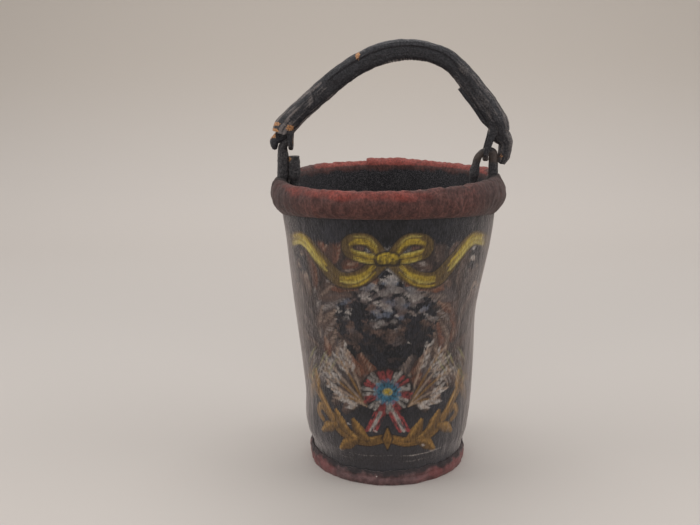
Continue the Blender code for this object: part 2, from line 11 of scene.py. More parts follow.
import bmesh
import bpy
import numpy as np
from mathutils import Euler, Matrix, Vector


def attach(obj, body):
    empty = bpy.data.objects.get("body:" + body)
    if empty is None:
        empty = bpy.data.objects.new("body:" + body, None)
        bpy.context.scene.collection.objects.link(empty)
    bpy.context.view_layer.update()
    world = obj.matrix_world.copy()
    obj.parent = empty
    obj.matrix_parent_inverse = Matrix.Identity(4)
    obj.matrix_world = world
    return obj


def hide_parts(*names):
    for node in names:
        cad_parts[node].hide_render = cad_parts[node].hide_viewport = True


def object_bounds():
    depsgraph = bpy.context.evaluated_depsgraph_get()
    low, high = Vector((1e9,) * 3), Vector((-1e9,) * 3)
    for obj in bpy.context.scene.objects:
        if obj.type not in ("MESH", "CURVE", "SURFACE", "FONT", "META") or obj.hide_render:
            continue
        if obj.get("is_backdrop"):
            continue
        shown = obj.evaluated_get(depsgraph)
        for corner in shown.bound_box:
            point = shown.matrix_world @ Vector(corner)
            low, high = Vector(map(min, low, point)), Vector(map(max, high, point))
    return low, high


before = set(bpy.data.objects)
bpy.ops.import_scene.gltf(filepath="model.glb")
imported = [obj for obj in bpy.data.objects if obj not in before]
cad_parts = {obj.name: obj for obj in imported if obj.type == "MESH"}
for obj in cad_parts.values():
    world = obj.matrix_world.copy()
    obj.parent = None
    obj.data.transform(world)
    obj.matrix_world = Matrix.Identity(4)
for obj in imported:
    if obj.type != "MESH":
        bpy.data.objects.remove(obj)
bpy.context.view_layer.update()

# %% [markdown]
# ## Camera
# The photograph looks a little down on the bucket from about a metre away, with the bucket right of the middle.
# A constraint could aim the camera at a target. Three plain angles are used instead, because pitch, yaw and roll are
# what one reads off a picture, and each can be corrected without touching the others.

# %% Camera
PHOTO_WIDTH = 700
FOCAL_PIXELS = 1000
SENSOR_WIDTH = 36
CAMERA_PLACE = (0, -0.985, 0.431)
CAMERA_PITCH = 12.87
CAMERA_YAW = 2.2
CAMERA_ROLL = -0.5

lens = bpy.data.cameras.new("photo_lens")
lens.sensor_fit = "HORIZONTAL"
lens.sensor_width = SENSOR_WIDTH
lens.lens = FOCAL_PIXELS * SENSOR_WIDTH / PHOTO_WIDTH
camera = bpy.data.objects.new("photo_camera", lens)
bpy.context.scene.collection.objects.link(camera)
camera.location = CAMERA_PLACE
aim = Euler((0, 0, math.radians(CAMERA_YAW))).to_matrix()
aim = aim @ Euler((math.radians(90 - CAMERA_PITCH), 0, 0)).to_matrix()
aim = aim @ Euler((0, 0, math.radians(CAMERA_ROLL))).to_matrix()
camera.rotation_euler = aim.to_euler()
bpy.context.scene.camera = camera
bpy.context.scene.view_settings.view_transform = "Standard"
print("camera at", CAMERA_PLACE)

# %% [markdown]
# ## Bench tools: uneven hide
# Hide is never quite even: it swells, sinks and wrinkles. That could be sculpted, or left to a displace modifier.
# Here one smooth random field is worked out in numbers, so the same swell can move points, break up paint and place
# wear, and it comes out the same on every run.

# %% Bench tools: uneven hide
FIELD_CELLS = 24
FIELD_SHIFT = 57.3


def lumps(points, size, seed):
    """Smooth random swell from -1 to 1 at each point, its lumps about size metres across."""
    table = np.random.default_rng(seed).uniform(-1, 1, (FIELD_CELLS,) * 3)
    place = np.asarray(points, float) / size + FIELD_SHIFT
    cell = np.floor(place).astype(int)
    part = place - cell
    part = part * part * (3 - 2 * part)
    total = np.zeros(place.shape[:-1])
    for corner in np.ndindex(2, 2, 2):
        weight = np.prod(np.where(np.array(corner, bool), part, 1 - part), axis=-1)
        spot = (cell + np.array(corner)) % FIELD_CELLS
        total += weight * table[spot[..., 0], spot[..., 1], spot[..., 2]]
    return total


def ease(value, low, high):
    """0 below low, 1 above high, and a smooth rise between."""
    t = np.clip((np.asarray(value, float) - low) / (high - low), 0, 1)
    return t * t * (3 - 2 * t)


def hump(value, middle, spread):
    """1 at the middle, fading to nothing at about twice the spread."""
    return np.exp(-(((np.asarray(value, float) - middle) / spread) ** 2))


print("swells come from a field of", FIELD_CELLS**3, "values")

# %% [markdown]
# ## Bench tools: straps and rings
# Straps, thongs and threads are long pieces with one cross-section. A Blender curve with a bevel would sweep them.
# Rings of points set round a path are used instead, because each ring can then be made wider, thinner or rougher by
# itself.

# %% Bench tools: straps and rings
ROUTE_STEPS = 24


def heading(line):
    """Unit direction at each point of a line."""
    run = np.gradient(line, axis=0)
    return run / np.linalg.norm(run, axis=1)[:, None]


def travel(line):
    """Distance gone at each point of a line."""
    return np.concatenate([[0], np.cumsum(np.linalg.norm(np.diff(line, axis=0), axis=1))])


def places_at(want, have, line):
    """The places on a line at the wanted measures, from the measures its points have."""
    return np.stack([np.interp(want, have, line[:, k]) for k in range(line.shape[1])], 1)


def route(points, steps):
    """Even-step smooth curve through the points."""
    knots = np.array(points, float)
    knots = np.vstack([2 * knots[0] - knots[1], knots, 2 * knots[-1] - knots[-2]])
    t = np.linspace(0, 1, ROUTE_STEPS, endpoint=False)[:, None]
    dense = []
    for i in range(1, len(knots) - 2):
        p0, p1, p2, p3 = knots[i - 1 : i + 3]
        bend = 2 * p0 - 5 * p1 + 4 * p2 - p3
        twist = 3 * p1 - p0 - 3 * p2 + p3
        dense.append(0.5 * (2 * p1 + (p2 - p0) * t + bend * t**2 + twist * t**3))
    dense = np.vstack(dense + [knots[-2:-1]])
    length = travel(dense)
    return places_at(np.linspace(0, length[-1], steps), length, dense)


def tube(path, across, deep):
    """Rings round an (x, z) path, from each ring's reach across the path and along Y."""
    run = heading(path)
    side_x, side_z = -run[:, 1:], run[:, :1]
    return np.stack([path[:, :1] + side_x * across, deep, path[:, 1:] + side_z * across], -1)


def oval(count, power=1):
    """Across and deep shares of a rounded outline, squarer for a smaller power."""
    angle = 2 * math.pi * np.arange(count) / count
    across = np.sign(np.cos(angle)) * np.abs(np.cos(angle)) ** power
    deep = np.sign(np.sin(angle)) * np.abs(np.sin(angle)) ** power
    return across, deep


print("paths take", ROUTE_STEPS, "steps from knot to knot")

# %% [markdown]
# ## Bench tools: rough sides and torn ends
# Old straps are lumpy and end in torn, slightly domed fibre. Sculpting each would take long. Two short helpers swell
# the rings and close them, because the same few numbers then suit a thong, a core or an eye.

# %% Bench tools: rough sides and torn ends
CAP_SHARES = (0.92, 0.7, 0.4, 0.12)
CAP_LUMP = 0.0025
FINE_LUMP = 0.002


def uneven(rings, coarse, size, fine, seed, where=1):
    """Swell each ring by shares of its own reach: coarse lumps of that size, and fine ones."""
    out = rings - rings.mean(1, keepdims=True)
    swell = coarse * lumps(rings, size, seed) + fine * lumps(rings, FINE_LUMP, seed + 1)
    return rings + out * (where * swell)[..., None]


def close_ends(rings, bulge, rough, seed):
    """Add shrinking rings so that both ends close as torn, slightly domed leather."""
    parts = [rings]
    for first, second, front in ((rings[0], rings[1], True), (rings[-1], rings[-2], False)):
        middle = first.mean(0)
        out = middle - second.mean(0)
        out /= np.linalg.norm(out)
        caps = []
        for share in CAP_SHARES:
            ring = middle + (first - middle) * share
            lift = bulge * (1 - share) + rough * lumps(ring, CAP_LUMP, seed) * (1 - share * share)
            caps.append(ring + out * lift[:, None])
        parts = [np.array(caps[::-1])] + parts if front else parts + [np.array(caps)]
    return np.concatenate(parts)


print("torn ends close in", len(CAP_SHARES), "rings")

# %% [markdown]
# ## Bench tools: skin and place
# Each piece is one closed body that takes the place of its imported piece. Faces could be bridged by hand in a mesh
# editor. Here equal rings are skinned by counting, because the counting is the same for a wall, a rim or a strap,
# and each point can carry marks, such as how rubbed it is, for the finish to read.

# %% Bench tools: skin and place
def skin(name, rings, closed=False):
    """One closed piece from equal rings of points."""
    rings = np.asarray(rings, float)
    count, size = rings.shape[:2]
    first = np.arange(count if closed else count - 1)[:, None]
    spot = np.arange(size)[None, :]
    after = (first + 1) % count
    turn = (spot + 1) % size
    corners = [first * size + spot, first * size + turn, after * size + turn, after * size + spot]
    faces = np.stack(corners, -1).reshape(-1, 4).tolist()
    if not closed:
        faces += [list(range(size)), list(range((count - 1) * size, count * size))]
    mesh = bpy.data.meshes.new(name)
    mesh.from_pydata(rings.reshape(-1, 3).tolist(), [], faces)
    bm = bmesh.new()
    bm.from_mesh(mesh)
    bmesh.ops.recalc_face_normals(bm, faces=bm.faces)
    bm.to_mesh(mesh)
    bm.free()
    mesh.polygons.foreach_set("use_smooth", [True] * len(mesh.polygons))
    obj = bpy.data.objects.new(name, mesh)
    bpy.context.scene.collection.objects.link(obj)
    return obj


def mark(obj, name, values):
    """Keep one number per point on the piece for its material to read."""
    kept = obj.data.attributes.new(name, "FLOAT", "POINT")
    kept.data.foreach_set("value", np.asarray(values, np.float32).ravel())


def stand_for(obj, body, slot, look, *nodes):
    """The piece takes the place of CAD nodes and rides with their body."""
    obj.data.materials.append(look)
    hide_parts(*nodes)
    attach(obj, body)
    print(obj.name, "stands for", ", ".join(nodes), "with", len(obj.data.polygons), "faces")
    return obj


def refinish(node, look):
    """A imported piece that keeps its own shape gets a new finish."""
    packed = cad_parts[node].data
    packed.materials.clear()
    packed.materials.append(look)
    print(node, "keeps its shape, in", look.name)


print("packed pieces to dress:", ", ".join(sorted(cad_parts)))

# %% [markdown]
# ## Bench tools: finishes
# A finish is a few noises at the sizes the eye meets on old leather: pores, fibres, mottles and worn patches.
# Painted images could carry them. Noises in the shader need no unwrapping, never repeat and move with the piece, and
# short calls let each recipe read as a list of layers, from the ground up.

# %% Bench tools: finishes
NAP_ROUGHNESS = 0.32
NAP_TINT = (1, 0.89, 0.85, 1)


def tint(red, green, blue):
    """Linear colour of a paint mixed by eye in screen values from 0 to 255."""
    share = np.array([red, green, blue]) / 255
    return np.where(share <= 0.04045, share / 12.92, ((share + 0.055) / 1.055) ** 2.4)


class Finish:
    """A material built by short calls, each returning the socket it made."""

    def __init__(self, name):
        self.look = bpy.data.materials.new(name)
        self.look.use_nodes = True
        self.tree = self.look.node_tree
        self.shader = self.tree.nodes["Principled BSDF"]
        self.place = self.add("ShaderNodeTexCoord").outputs["Object"]

    def add(self, kind, settings=None, inputs=None):
        node = self.tree.nodes.new(kind)
        for key, value in (settings or {}).items():
            setattr(node, key, value)
        for key, value in (inputs or {}).items():
            self.plug(node.inputs[key], value)
        return node

    def plug(self, socket, value):
        if isinstance(value, bpy.types.NodeSocket):
            self.tree.links.new(value, socket)
        elif socket.type == "RGBA":
            socket.default_value = (*value, 1)
        else:
            socket.default_value = value

    def axis(self, index):
        """The place along X, Y or Z in metres."""
        return self.add("ShaderNodeSeparateXYZ", None, {0: self.place}).outputs[index]

    def noise(self, size, upright=1, detail=4, rough=0.6):
        """Grain of about that size in metres, drawn out upwards when upright is below 1."""
        scaled = self.add("ShaderNodeMapping", None, {"Vector": self.place, "Scale": (1, 1, upright)})
        inputs = {"Vector": scaled.outputs[0], "Scale": 1 / size, "Detail": detail, "Roughness": rough}
        return self.add("ShaderNodeTexNoise", None, inputs).outputs[0]

    def mark(self, name):
        return self.add("ShaderNodeAttribute", {"attribute_name": name}).outputs["Fac"]

    def shade(self, name):
        return self.add("ShaderNodeAttribute", {"attribute_name": name}).outputs["Color"]

    def ramp(self, value, low, high, start=0, stop=1):
        inputs = {"Value": value, "From Min": low, "From Max": high, "To Min": start, "To Max": stop}
        node = self.add("ShaderNodeMapRange", {"interpolation_type": "SMOOTHSTEP"}, inputs)
        return node.outputs[0]

    def sums(self, kind, first, second):
        return self.add("ShaderNodeMath", {"operation": kind}, {0: first, 1: second}).outputs[0]

    def over(self, first, second, share):
        """The first value plus a share of the second."""
        return self.sums("ADD", first, self.sums("MULTIPLY", second, share))

    def stir(self, value, grain, amount):
        """Unsettle a value by a grain that swings round its middle."""
        return self.over(value, self.sums("SUBTRACT", grain, 0.5), amount)

    def mix(self, share, first, second, kind="MIX"):
        node = self.add("ShaderNodeMix", {"data_type": "RGBA", "blend_type": kind})
        self.plug(node.inputs[0], share)
        self.plug(node.inputs[6], first)
        self.plug(node.inputs[7], second)
        return node.outputs[2]

    def two_tone(self, value, low, high, first, second):
        """One paint where the value is low and another where it is high."""
        return self.mix(self.ramp(value, low, high), tint(*first), tint(*second))

    def layer(self, under, value, span, colour):
        """A paint laid where the value is high; the span is where it starts, is full, and how full."""
        low, high, share = span
        return self.mix(self.ramp(value, low, high, 0, share), under, tint(*colour))

    def done(self, colour, rough, height, depth, specular=0.5, fuzz=0):
        """Link colour, roughness and a bump whose full height is depth metres; fuzz is the nap's sheen."""
        self.plug(self.shader.inputs["Base Color"], colour)
        self.plug(self.shader.inputs["Roughness"], rough)
        self.shader.inputs["Specular IOR Level"].default_value = specular
        self.shader.inputs["Sheen Weight"].default_value = fuzz
        self.shader.inputs["Sheen Roughness"].default_value = NAP_ROUGHNESS
        self.shader.inputs["Sheen Tint"].default_value = NAP_TINT
        bump = self.add("ShaderNodeBump", None, {"Strength": 1, "Distance": depth, "Height": height})
        self.plug(self.shader.inputs["Normal"], bump.outputs[0])
        print("finish", self.look.name, "of", len(self.tree.nodes), "nodes")
        return self.look


print("sheen of the nap", NAP_TINT[:3])

# %% [markdown]
# ## Stage
# The photograph has a pale warm-grey sweep under soft light from above, a little darker at the top.
# A flat floor and a far wall would show the joint between them. One sheet bent up at the back has none, as in a
# studio, and four colours blend along it as painted light and shade, for the slow change of tone the lamps give.

# %% Stage
FLOOR_NEAR = tint(203, 196, 190)
FLOOR_FAR = tint(197, 191, 186)
SWEEP_LOW = tint(214, 207, 201)
SWEEP_TOP = tint(207, 198, 189)
FLOOR_STEPS = (-4, -1, 0, 0.5)
SWEEP_START = 1
SWEEP_RADIUS = 1.2
SWEEP_HEIGHT = 4.5
SWEEP_HALF_WIDTH = 5

bend = np.linspace(0, math.pi / 2, 25)
run_y = np.concatenate([FLOOR_STEPS, SWEEP_START + SWEEP_RADIUS * np.sin(bend), [SWEEP_START + SWEEP_RADIUS]])
run_z = np.concatenate([np.zeros(len(FLOOR_STEPS)), SWEEP_RADIUS * (1 - np.cos(bend)), [SWEEP_HEIGHT]])
sweep = bpy.data.meshes.new("sweep")
points = [(x, y, z) for y, z in zip(run_y, run_z) for x in (-SWEEP_HALF_WIDTH, SWEEP_HALF_WIDTH)]
faces = [(2 * k, 2 * k + 1, 2 * k + 3, 2 * k + 2) for k in range(len(run_y) - 1)]
sweep.from_pydata(points, [], faces)
sweep.polygons.foreach_set("use_smooth", [True] * len(faces))
backdrop = bpy.data.objects.new("sweep", sweep)
bpy.context.scene.collection.objects.link(backdrop)
paper = Finish("sweep_paper")
far = paper.ramp(paper.axis(1), -0.35, 0.45)
back = paper.ramp(paper.axis(1), 0.45, 1.35)
up = paper.ramp(paper.axis(2), 0.02, 0.40)
fine = paper.noise(0.004, detail=2)
# The four colours are painted light and shade: darker on the far floor and at the top, paler where the sweep rises.
paper_and_painted_falloff = paper.mix(back, paper.mix(far, FLOOR_NEAR, FLOOR_FAR), SWEEP_LOW)
paper_and_painted_falloff = paper.mix(up, paper_and_painted_falloff, SWEEP_TOP)
sweep.materials.append(paper.done(paper_and_painted_falloff, 0.9, fine, 0.00002, 0.1))
backdrop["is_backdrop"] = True
print("sweep with", len(faces), "bands")

# %% [markdown]
# ## Light
# The photograph's light comes softly from above and from both sides, so the edges catch a grey sheen.
# One sun would cut hard shadows, and a picture of a room would tie the look to that room. Three broad lamps, a weaker
# one in front and an even glow are plain, at a level where paint looks as mixed.

# %% Light
WORLD_LEVEL = 0.46
GLOW_TINT = (1, 0.985, 0.97, 1)
LAMP_AIM = Vector((0, 0, 0.18))
LAMPS = (
    ("top_lamp", (0, 0.55, 1.75), 13, 1.4),
    ("front_lamp", (-0.20, -1.60, 1.60), 5, 1.6),
    ("left_lamp", (-1.55, -0.15, 1.00), 9, 1.4),
    ("right_lamp", (1.55, -0.15, 1.00), 9, 1.4),
)

world = bpy.data.worlds.new("soft_room")
world.use_nodes = True
glow = world.node_tree.nodes["Background"]
glow.inputs[0].default_value = GLOW_TINT
glow.inputs[1].default_value = WORLD_LEVEL
bpy.context.scene.world = world
for name, place, power, size in LAMPS:
    bulb = bpy.data.lights.new(name, "AREA")
    bulb.shape = "DISK"
    bulb.size = size
    bulb.energy = power
    lamp = bpy.data.objects.new(name, bulb)
    lamp.location = place
    lamp.rotation_euler = (LAMP_AIM - Vector(place)).to_track_quat("-Z", "Y").to_euler()
    bpy.context.scene.collection.objects.link(lamp)
print("lamps:", ", ".join(name for name, *_ in LAMPS))

# %% [markdown]
# ## Body wall: profile and wear
# The body is one sheet of hide rolled to a cone. Years of use have pushed the right side in and let the left side
# belly out, so the cone is no longer round. A spun profile bent by a lattice would give that. Here the radius is
# worked out from the angle and the height, because each dent is then one row of a table.

# %% Body wall: profile and wear
WALL_THICKNESS = 0.0050
FOOT_RADIUS, FOOT_TOP = 0.0768, 0.0180
SWELL_RADIUS, SWELL_HEIGHT = 0.0806, 0.0380
MID_RADIUS, MID_HEIGHT = 0.0894, 0.1450
TOP_RADIUS, TOP_HEIGHT = 0.1066, 0.2855
WEAR_RADIUS = 0.09
RIGHT, LEFT, FRONT, BACK = 0, math.pi, -math.pi / 2, math.pi / 2
DENTS = (  # out or in, facing, spread round, height, spread up
    (-0.0027, RIGHT, 0.75, 0.153, 0.036),
    (0.0022, RIGHT, 0.75, 0.238, 0.030),
    (0.0022, RIGHT, 0.75, 0.070, 0.040),
    (0.0022, LEFT, 0.80, 0.172, 0.070),
    (0.0030, LEFT, 0.80, 0.045, 0.018),
    (-0.0012, FRONT + 0.55, 0.30, 0.125, 0.030),
    (0.0010, FRONT - 0.35, 0.35, 0.085, 0.030),
)


def wall_outer(height):
    """Outer radius of the sound leather wall at a height."""
    z = np.asarray(height, float)
    foot = FOOT_RADIUS + (SWELL_RADIUS - FOOT_RADIUS) * ease(z, FOOT_TOP, SWELL_HEIGHT)
    low = (z - MID_HEIGHT) * (z - TOP_HEIGHT) / ((SWELL_HEIGHT - MID_HEIGHT) * (SWELL_HEIGHT - TOP_HEIGHT))
    mid = (z - SWELL_HEIGHT) * (z - TOP_HEIGHT) / ((MID_HEIGHT - SWELL_HEIGHT) * (MID_HEIGHT - TOP_HEIGHT))
    top = (z - SWELL_HEIGHT) * (z - MID_HEIGHT) / ((TOP_HEIGHT - SWELL_HEIGHT) * (TOP_HEIGHT - MID_HEIGHT))
    cone = low * SWELL_RADIUS + mid * MID_RADIUS + top * TOP_RADIUS
    return np.where(z < SWELL_HEIGHT, foot, cone)


def around(radius, angle, height):
    """Points at a radius, a turn and a height about the bucket's axis."""
    return np.stack([radius * np.cos(angle), radius * np.sin(angle), height + 0 * angle], -1)


def turn_from(angle, middle):
    """Signed turn from a middle angle, within half a round."""
    return (np.asarray(angle) - middle + math.pi) % (2 * math.pi) - math.pi


def facing(angle, middle, spread):
    """1 where a surface faces that way, fading over the spread."""
    return hump(turn_from(angle, middle), 0, spread)


def wall_wear(angle, z):
    """How far use has moved the wall in or out."""
    moved = 0
    for depth, middle, spread, level, tall in DENTS:
        moved = moved + depth * facing(angle, middle, spread) * hump(z, level, tall)
    moved += 0.0010 * np.cos(angle) ** 2 * ease(z, 0.030, 0.060)
    spot = around(WEAR_RADIUS, angle, z)
    moved += 0.0007 * lumps(spot * (1, 1, 0.55), 0.026, 11)
    moved += 0.00022 * lumps(spot * (1, 1, 0.22), 0.0045, 12)
    calm = 1 - facing(angle, BACK, 0.22)
    return moved * calm * ease(z, 0.010, 0.028) * (1 - ease(z, 0.262, 0.278))


print("wall from", 2000 * FOOT_RADIUS, "mm across the foot to", 2000 * TOP_RADIUS, "mm at the top")

# %% [markdown]
# ## Body wall: shape
# The sheet's two edges lap at the back, where the upper one makes a small step. A solidify modifier on one surface
# would give the thickness. Outer and inner faces are set out as one closed ring per column instead, because the front
# then gets close columns, fine enough to carry brush strokes, and the back and the inside stay coarse.

# %% Body wall: shape
LAP_EDGE = math.radians(82.4)
LAP_PROUD, LAP_SUNK = 0.0007, 0.0004
PANEL_HALF_ANGLE = math.radians(78)
FRONT_COLUMNS, BACK_COLUMNS = 232, 92
OUTER_ROWS, INNER_ROWS = 232, 26
INNER_WEAR = 0.7

front_columns = FRONT + np.linspace(-PANEL_HALF_ANGLE, PANEL_HALF_ANGLE, FRONT_COLUMNS)
back_columns = FRONT + np.linspace(PANEL_HALF_ANGLE, 2 * math.pi - PANEL_HALF_ANGLE, BACK_COLUMNS)[1:-1]
lap_columns = np.array([LAP_EDGE - 0.004, LAP_EDGE + 0.001])
columns = np.sort(np.concatenate([front_columns, back_columns, lap_columns]))
wall_turn, wall_height = np.meshgrid(columns, np.linspace(0, TOP_HEIGHT, OUTER_ROWS), indexing="ij")
lap = turn_from(wall_turn, LAP_EDGE)
lap_step = LAP_PROUD * (lap > 0) * (1 - ease(lap, 0, 0.30))
lap_step = lap_step - LAP_SUNK * (lap <= 0) * (1 - ease(-lap, 0, 0.05))
radius = wall_outer(wall_height) + wall_wear(wall_turn, wall_height) + lap_step
outer = around(radius, wall_turn, wall_height)
angle, height = np.meshgrid(columns, np.linspace(TOP_HEIGHT, 0, INNER_ROWS), indexing="ij")
radius = wall_outer(height) - WALL_THICKNESS + INNER_WEAR * wall_wear(angle, height)
inner = around(radius, angle, height)
body_wall = skin("bucket_wall", np.concatenate([outer, inner], 1), closed=True)
across_front = 1000 * turn_from(wall_turn, FRONT) * wall_outer(wall_height)
up_front = 1000 * wall_height
print("wall of", len(columns), "columns")

# %% [markdown]
# ## Painted front: palette
# Such buckets carried a painter's emblem. This one has a wreath of broad brown leaves on a clouded ground, a gilt bow
# above, a rosette where the stems cross and ochre scrolls below. It could be an image wrapped round the wall.
# The paint is kept on the wall's own points instead, as a colour and how much it covers, so nothing is unwrapped.

# %% Painted front: palette
INK = tint(26, 23, 25)
GREY_WHITE = tint(168, 160, 154)
CLOUD = tint(132, 126, 123)
SLATE = tint(88, 94, 108)
SHADE = tint(50, 41, 40)
UMBER = tint(92, 72, 64)
RUSSET = tint(112, 70, 52)
DUSK = tint(88, 78, 77)
TAN = tint(158, 138, 122)
GILT = tint(178, 152, 50)
GILT_LIGHT = tint(204, 186, 96)
GILT_DARK = tint(96, 76, 40)
OCHRE = tint(136, 100, 50)
OCHRE_LIGHT = tint(174, 136, 74)
OCHRE_DARK = tint(84, 62, 38)
STRAW = tint(150, 145, 96)
RED = tint(152, 66, 66)
BLUE = tint(60, 114, 140)

paint = np.zeros((*across_front.shape, 3))
cover = np.zeros(across_front.shape)
hand = np.random.default_rng(1812)
print("canvas of", cover.size, "points")

# %% [markdown]
# ## Painted front: brush
# A loaded brush leaves a stroke that swells, tapers and shows its bristles. Blender's texture paint is made for that,
# but it needs a hand at the screen. A stroke is worked out here from a line in millimetres across the front and up,
# because later strokes then cover earlier ones as paint does, in the same way on every run.

# %% Painted front: brush
BRISTLE_SEED = 5


def brush(points, width, colour, load=0.9, taper=(0.5, 1, 0.35), soft=1.1, streak=0.3):
    """One stroke of that width along the points, full or tapered, with bristle streaks."""
    line = route(points, max(12, 4 * len(points)))
    reach = width / 2 + 2
    low, high = line.min(0) - reach, line.max(0) + reach
    near = (across_front > low[0]) & (across_front < high[0]) & (up_front > low[1]) & (up_front < high[1])
    spot = np.stack([across_front[near], up_front[near]], 1)
    if not len(spot):
        return
    start, run = line[:-1], np.diff(line, axis=0)
    t = np.clip(((spot[:, None] - start) * run).sum(2) / (run * run).sum(1), 0, 1)
    gap = spot[:, None] - (start + t[..., None] * run)
    away = np.hypot(gap[..., 0], gap[..., 1])
    best = away.argmin(1)
    pick = np.arange(len(spot))
    share = (best + t[pick, best]) / len(run)
    turn = run[best, 0] * gap[pick, best, 1] - run[best, 1] * gap[pick, best, 0]
    side = np.sign(turn) * away[pick, best]
    half = width / 2 * np.interp(share, (0, 0.5, 1), taper)
    edge = np.clip((half - away[pick, best]) / soft + 0.5, 0, 1)
    hairs = np.stack([side * 0.7, share * 5 + line[0, 0], line[0, 1] + 0 * side], 1)
    bristle = lumps(hairs, 1, BRISTLE_SEED)
    alpha = load * edge * np.clip(1 - streak * (0.5 - bristle), 0, 1)
    paint[near] = paint[near] * (1 - alpha[:, None]) + np.asarray(colour) * alpha[:, None]
    cover[near] = cover[near] + (1 - cover[near]) * alpha


def both(points, *rest, **more):
    """The same stroke on the right and mirrored on the left."""
    brush(points, *rest, **more)
    brush([(-s, z) for s, z in points], *rest, **more)


print("brush reaches", round(float(np.ptp(across_front))), "mm across and", round(float(np.ptp(up_front))), "mm up")

# %% [markdown]
# ## Painted front: ground
# A sign painter lays the ground first, here soft puffs of grey and brown. A noise could tint it all at once. Short
# dabs of a few mixed paints are used, because their edges then look brushed, like the rest of the emblem.

# %% Painted front: ground
PUFFS = (
    (0, 178, 50, 60, 200, (SHADE, UMBER, DUSK, CLOUD, SLATE, GREY_WHITE), 0.55),
    (14, 214, 60, 30, 170, (DUSK, CLOUD, SLATE, GREY_WHITE, GREY_WHITE), 0.6),
    (-50, 216, 40, 24, 70, (DUSK, CLOUD, TAN), 0.5),
    (58, 208, 40, 28, 70, (DUSK, CLOUD, GREY_WHITE), 0.5),
)


def cloud(s, z, wide, tall, count, tones, load):
    """A puff of short dabs, paler towards its top."""
    for _ in range(count):
        x, y = s + wide * hand.normal() / 2, z + tall * hand.normal() / 2
        level = np.clip((y - z) / tall + 0.5 + hand.uniform(-0.35, 0.35), 0, 0.999)
        tip = hand.uniform(-3, 3)
        dab = [(x - 3.5, y - tip), (x, y), (x + 3.5, y + tip)]
        brush(dab, hand.uniform(3, 8), tones[int(level * len(tones))], load, (0.5, 1, 0.4), 2.2, 0.6)


for puff in PUFFS:
    cloud(*puff)
print("ground covers", round(float((cover > 0.5).mean()), 3), "of the outside")

# %% [markdown]
# ## Painted front: wreath
# Two stems of broad leaves meet above and below. One leaf could be drawn once and copied along them. Each is built
# from its own few strokes, dark to light with pale barbs, so that no two are alike. Towards the rim all of it fades,
# where hands have worn it off.

# %% Painted front: wreath
LEAF_STEPS = 12
WREATH = ((6, 106), (44, 114), (70, 144), (73, 184), (52, 216), (28, 230))
LEAF_LENGTHS = (46, 34, 30)
FADE_LOW, FADE_HIGH = 236, 250


def leaf(points, width, dark, light, edge, load=0.85):
    """A leaf along its midrib: dark outline, bristle strokes from dark to light, pale barbs on the light side."""
    line = route(points, LEAF_STEPS)
    ahead = heading(line)
    beside = np.stack([ahead[:, 1], -ahead[:, 0]], 1) * (1 if line[-1, 0] < 0 else -1)
    fat = np.interp(np.linspace(0, 1, LEAF_STEPS), (0, 0.5, 1), (0.45, 1, 0.30))[:, None] * width
    brush(line, width * 1.25, INK, 0.62, (0.45, 1, 0.3), 1.6)
    for k in range(5):
        tone = dark + (light - dark) * np.clip(k / 4 + hand.uniform(-0.2, 0.2), 0, 1)
        brush(line + beside * fat * (0.2 * k - 0.4), width * 0.34, tone, load, (0.5, 1, 0.4), 1, 0.55)
    for k in range(2, LEAF_STEPS - 1):
        reach = beside[k] * fat[k] * hand.uniform(0.35, 0.6) + ahead[k] * width * 0.3
        barb = [line[k] + reach * 0.25, line[k] + reach]
        brush(barb, hand.uniform(1, 2), edge, hand.uniform(0.2, 0.65), (0.6, 1, 0.3))


for side in (-1, 1):
    cloud(side * 100, 160, 30, 70, 130, (UMBER, DUSK, UMBER, TAN), 0.45)
    cloud(side * 66, 160, 44, 70, 130, (SHADE, UMBER, SHADE, UMBER), 0.5)
    cloud(side * 92, 118, 26, 30, 50, (SHADE, DUSK, UMBER), 0.4)
    stem = route([(side * s, z) for s, z in WREATH], 13)
    brush(stem, 4, INK, 0.9, (1, 1, 0.6))
    for row, full_length in enumerate(LEAF_LENGTHS):
        for k in range(1, len(stem)):
            run = (stem[k] - stem[k - 1]) / np.linalg.norm(stem[k] - stem[k - 1])
            out = side * np.array([run[1], -run[0]]) * (0.95, -0.9, 0.25 * (-1) ** k)[row]
            length = full_length * hand.uniform(0.85, 1.15)
            mid = stem[k - 1] + (0.42 * run + 0.35 * out) * length
            tip = stem[k - 1] + (0.66 * run + 0.80 * out) * length
            light = (UMBER, DUSK, RUSSET, UMBER)[int(hand.integers(4))] * hand.uniform(0.8, 1.15)
            edge = (TAN, DUSK, GREY_WHITE, TAN)[int(hand.integers(4))]
            leaf([stem[k - 1], mid, tip], 20 - 2.5 * row, SHADE, light, edge, 0.88)
faded = 1 - ease(up_front, FADE_LOW, FADE_HIGH)
cover *= faded
paint *= faded[..., None]
print("ground and leaves cover", round(float((cover > 0.5).mean()), 3), "of the outside")

# %% [markdown]
# ## Painted front: bow
# A gilt ribbon is tied in a bow above the wreath. A flat yellow band would look printed. So each run gets a dark
# outline, a brown shade and then thin yellow strokes with the bristles showing, bright only where the ribbon turns
# to the light.

# %% Painted front: bow
RIBBON_STEPS = 40
BOW_TAIL = [(6, 229), (24, 213), (46, 210), (68, 227), (92, 243), (124, 234)]
BOW_LOOP = [(3, 232), (18, 249), (36, 247), (34, 236), (6, 230)]


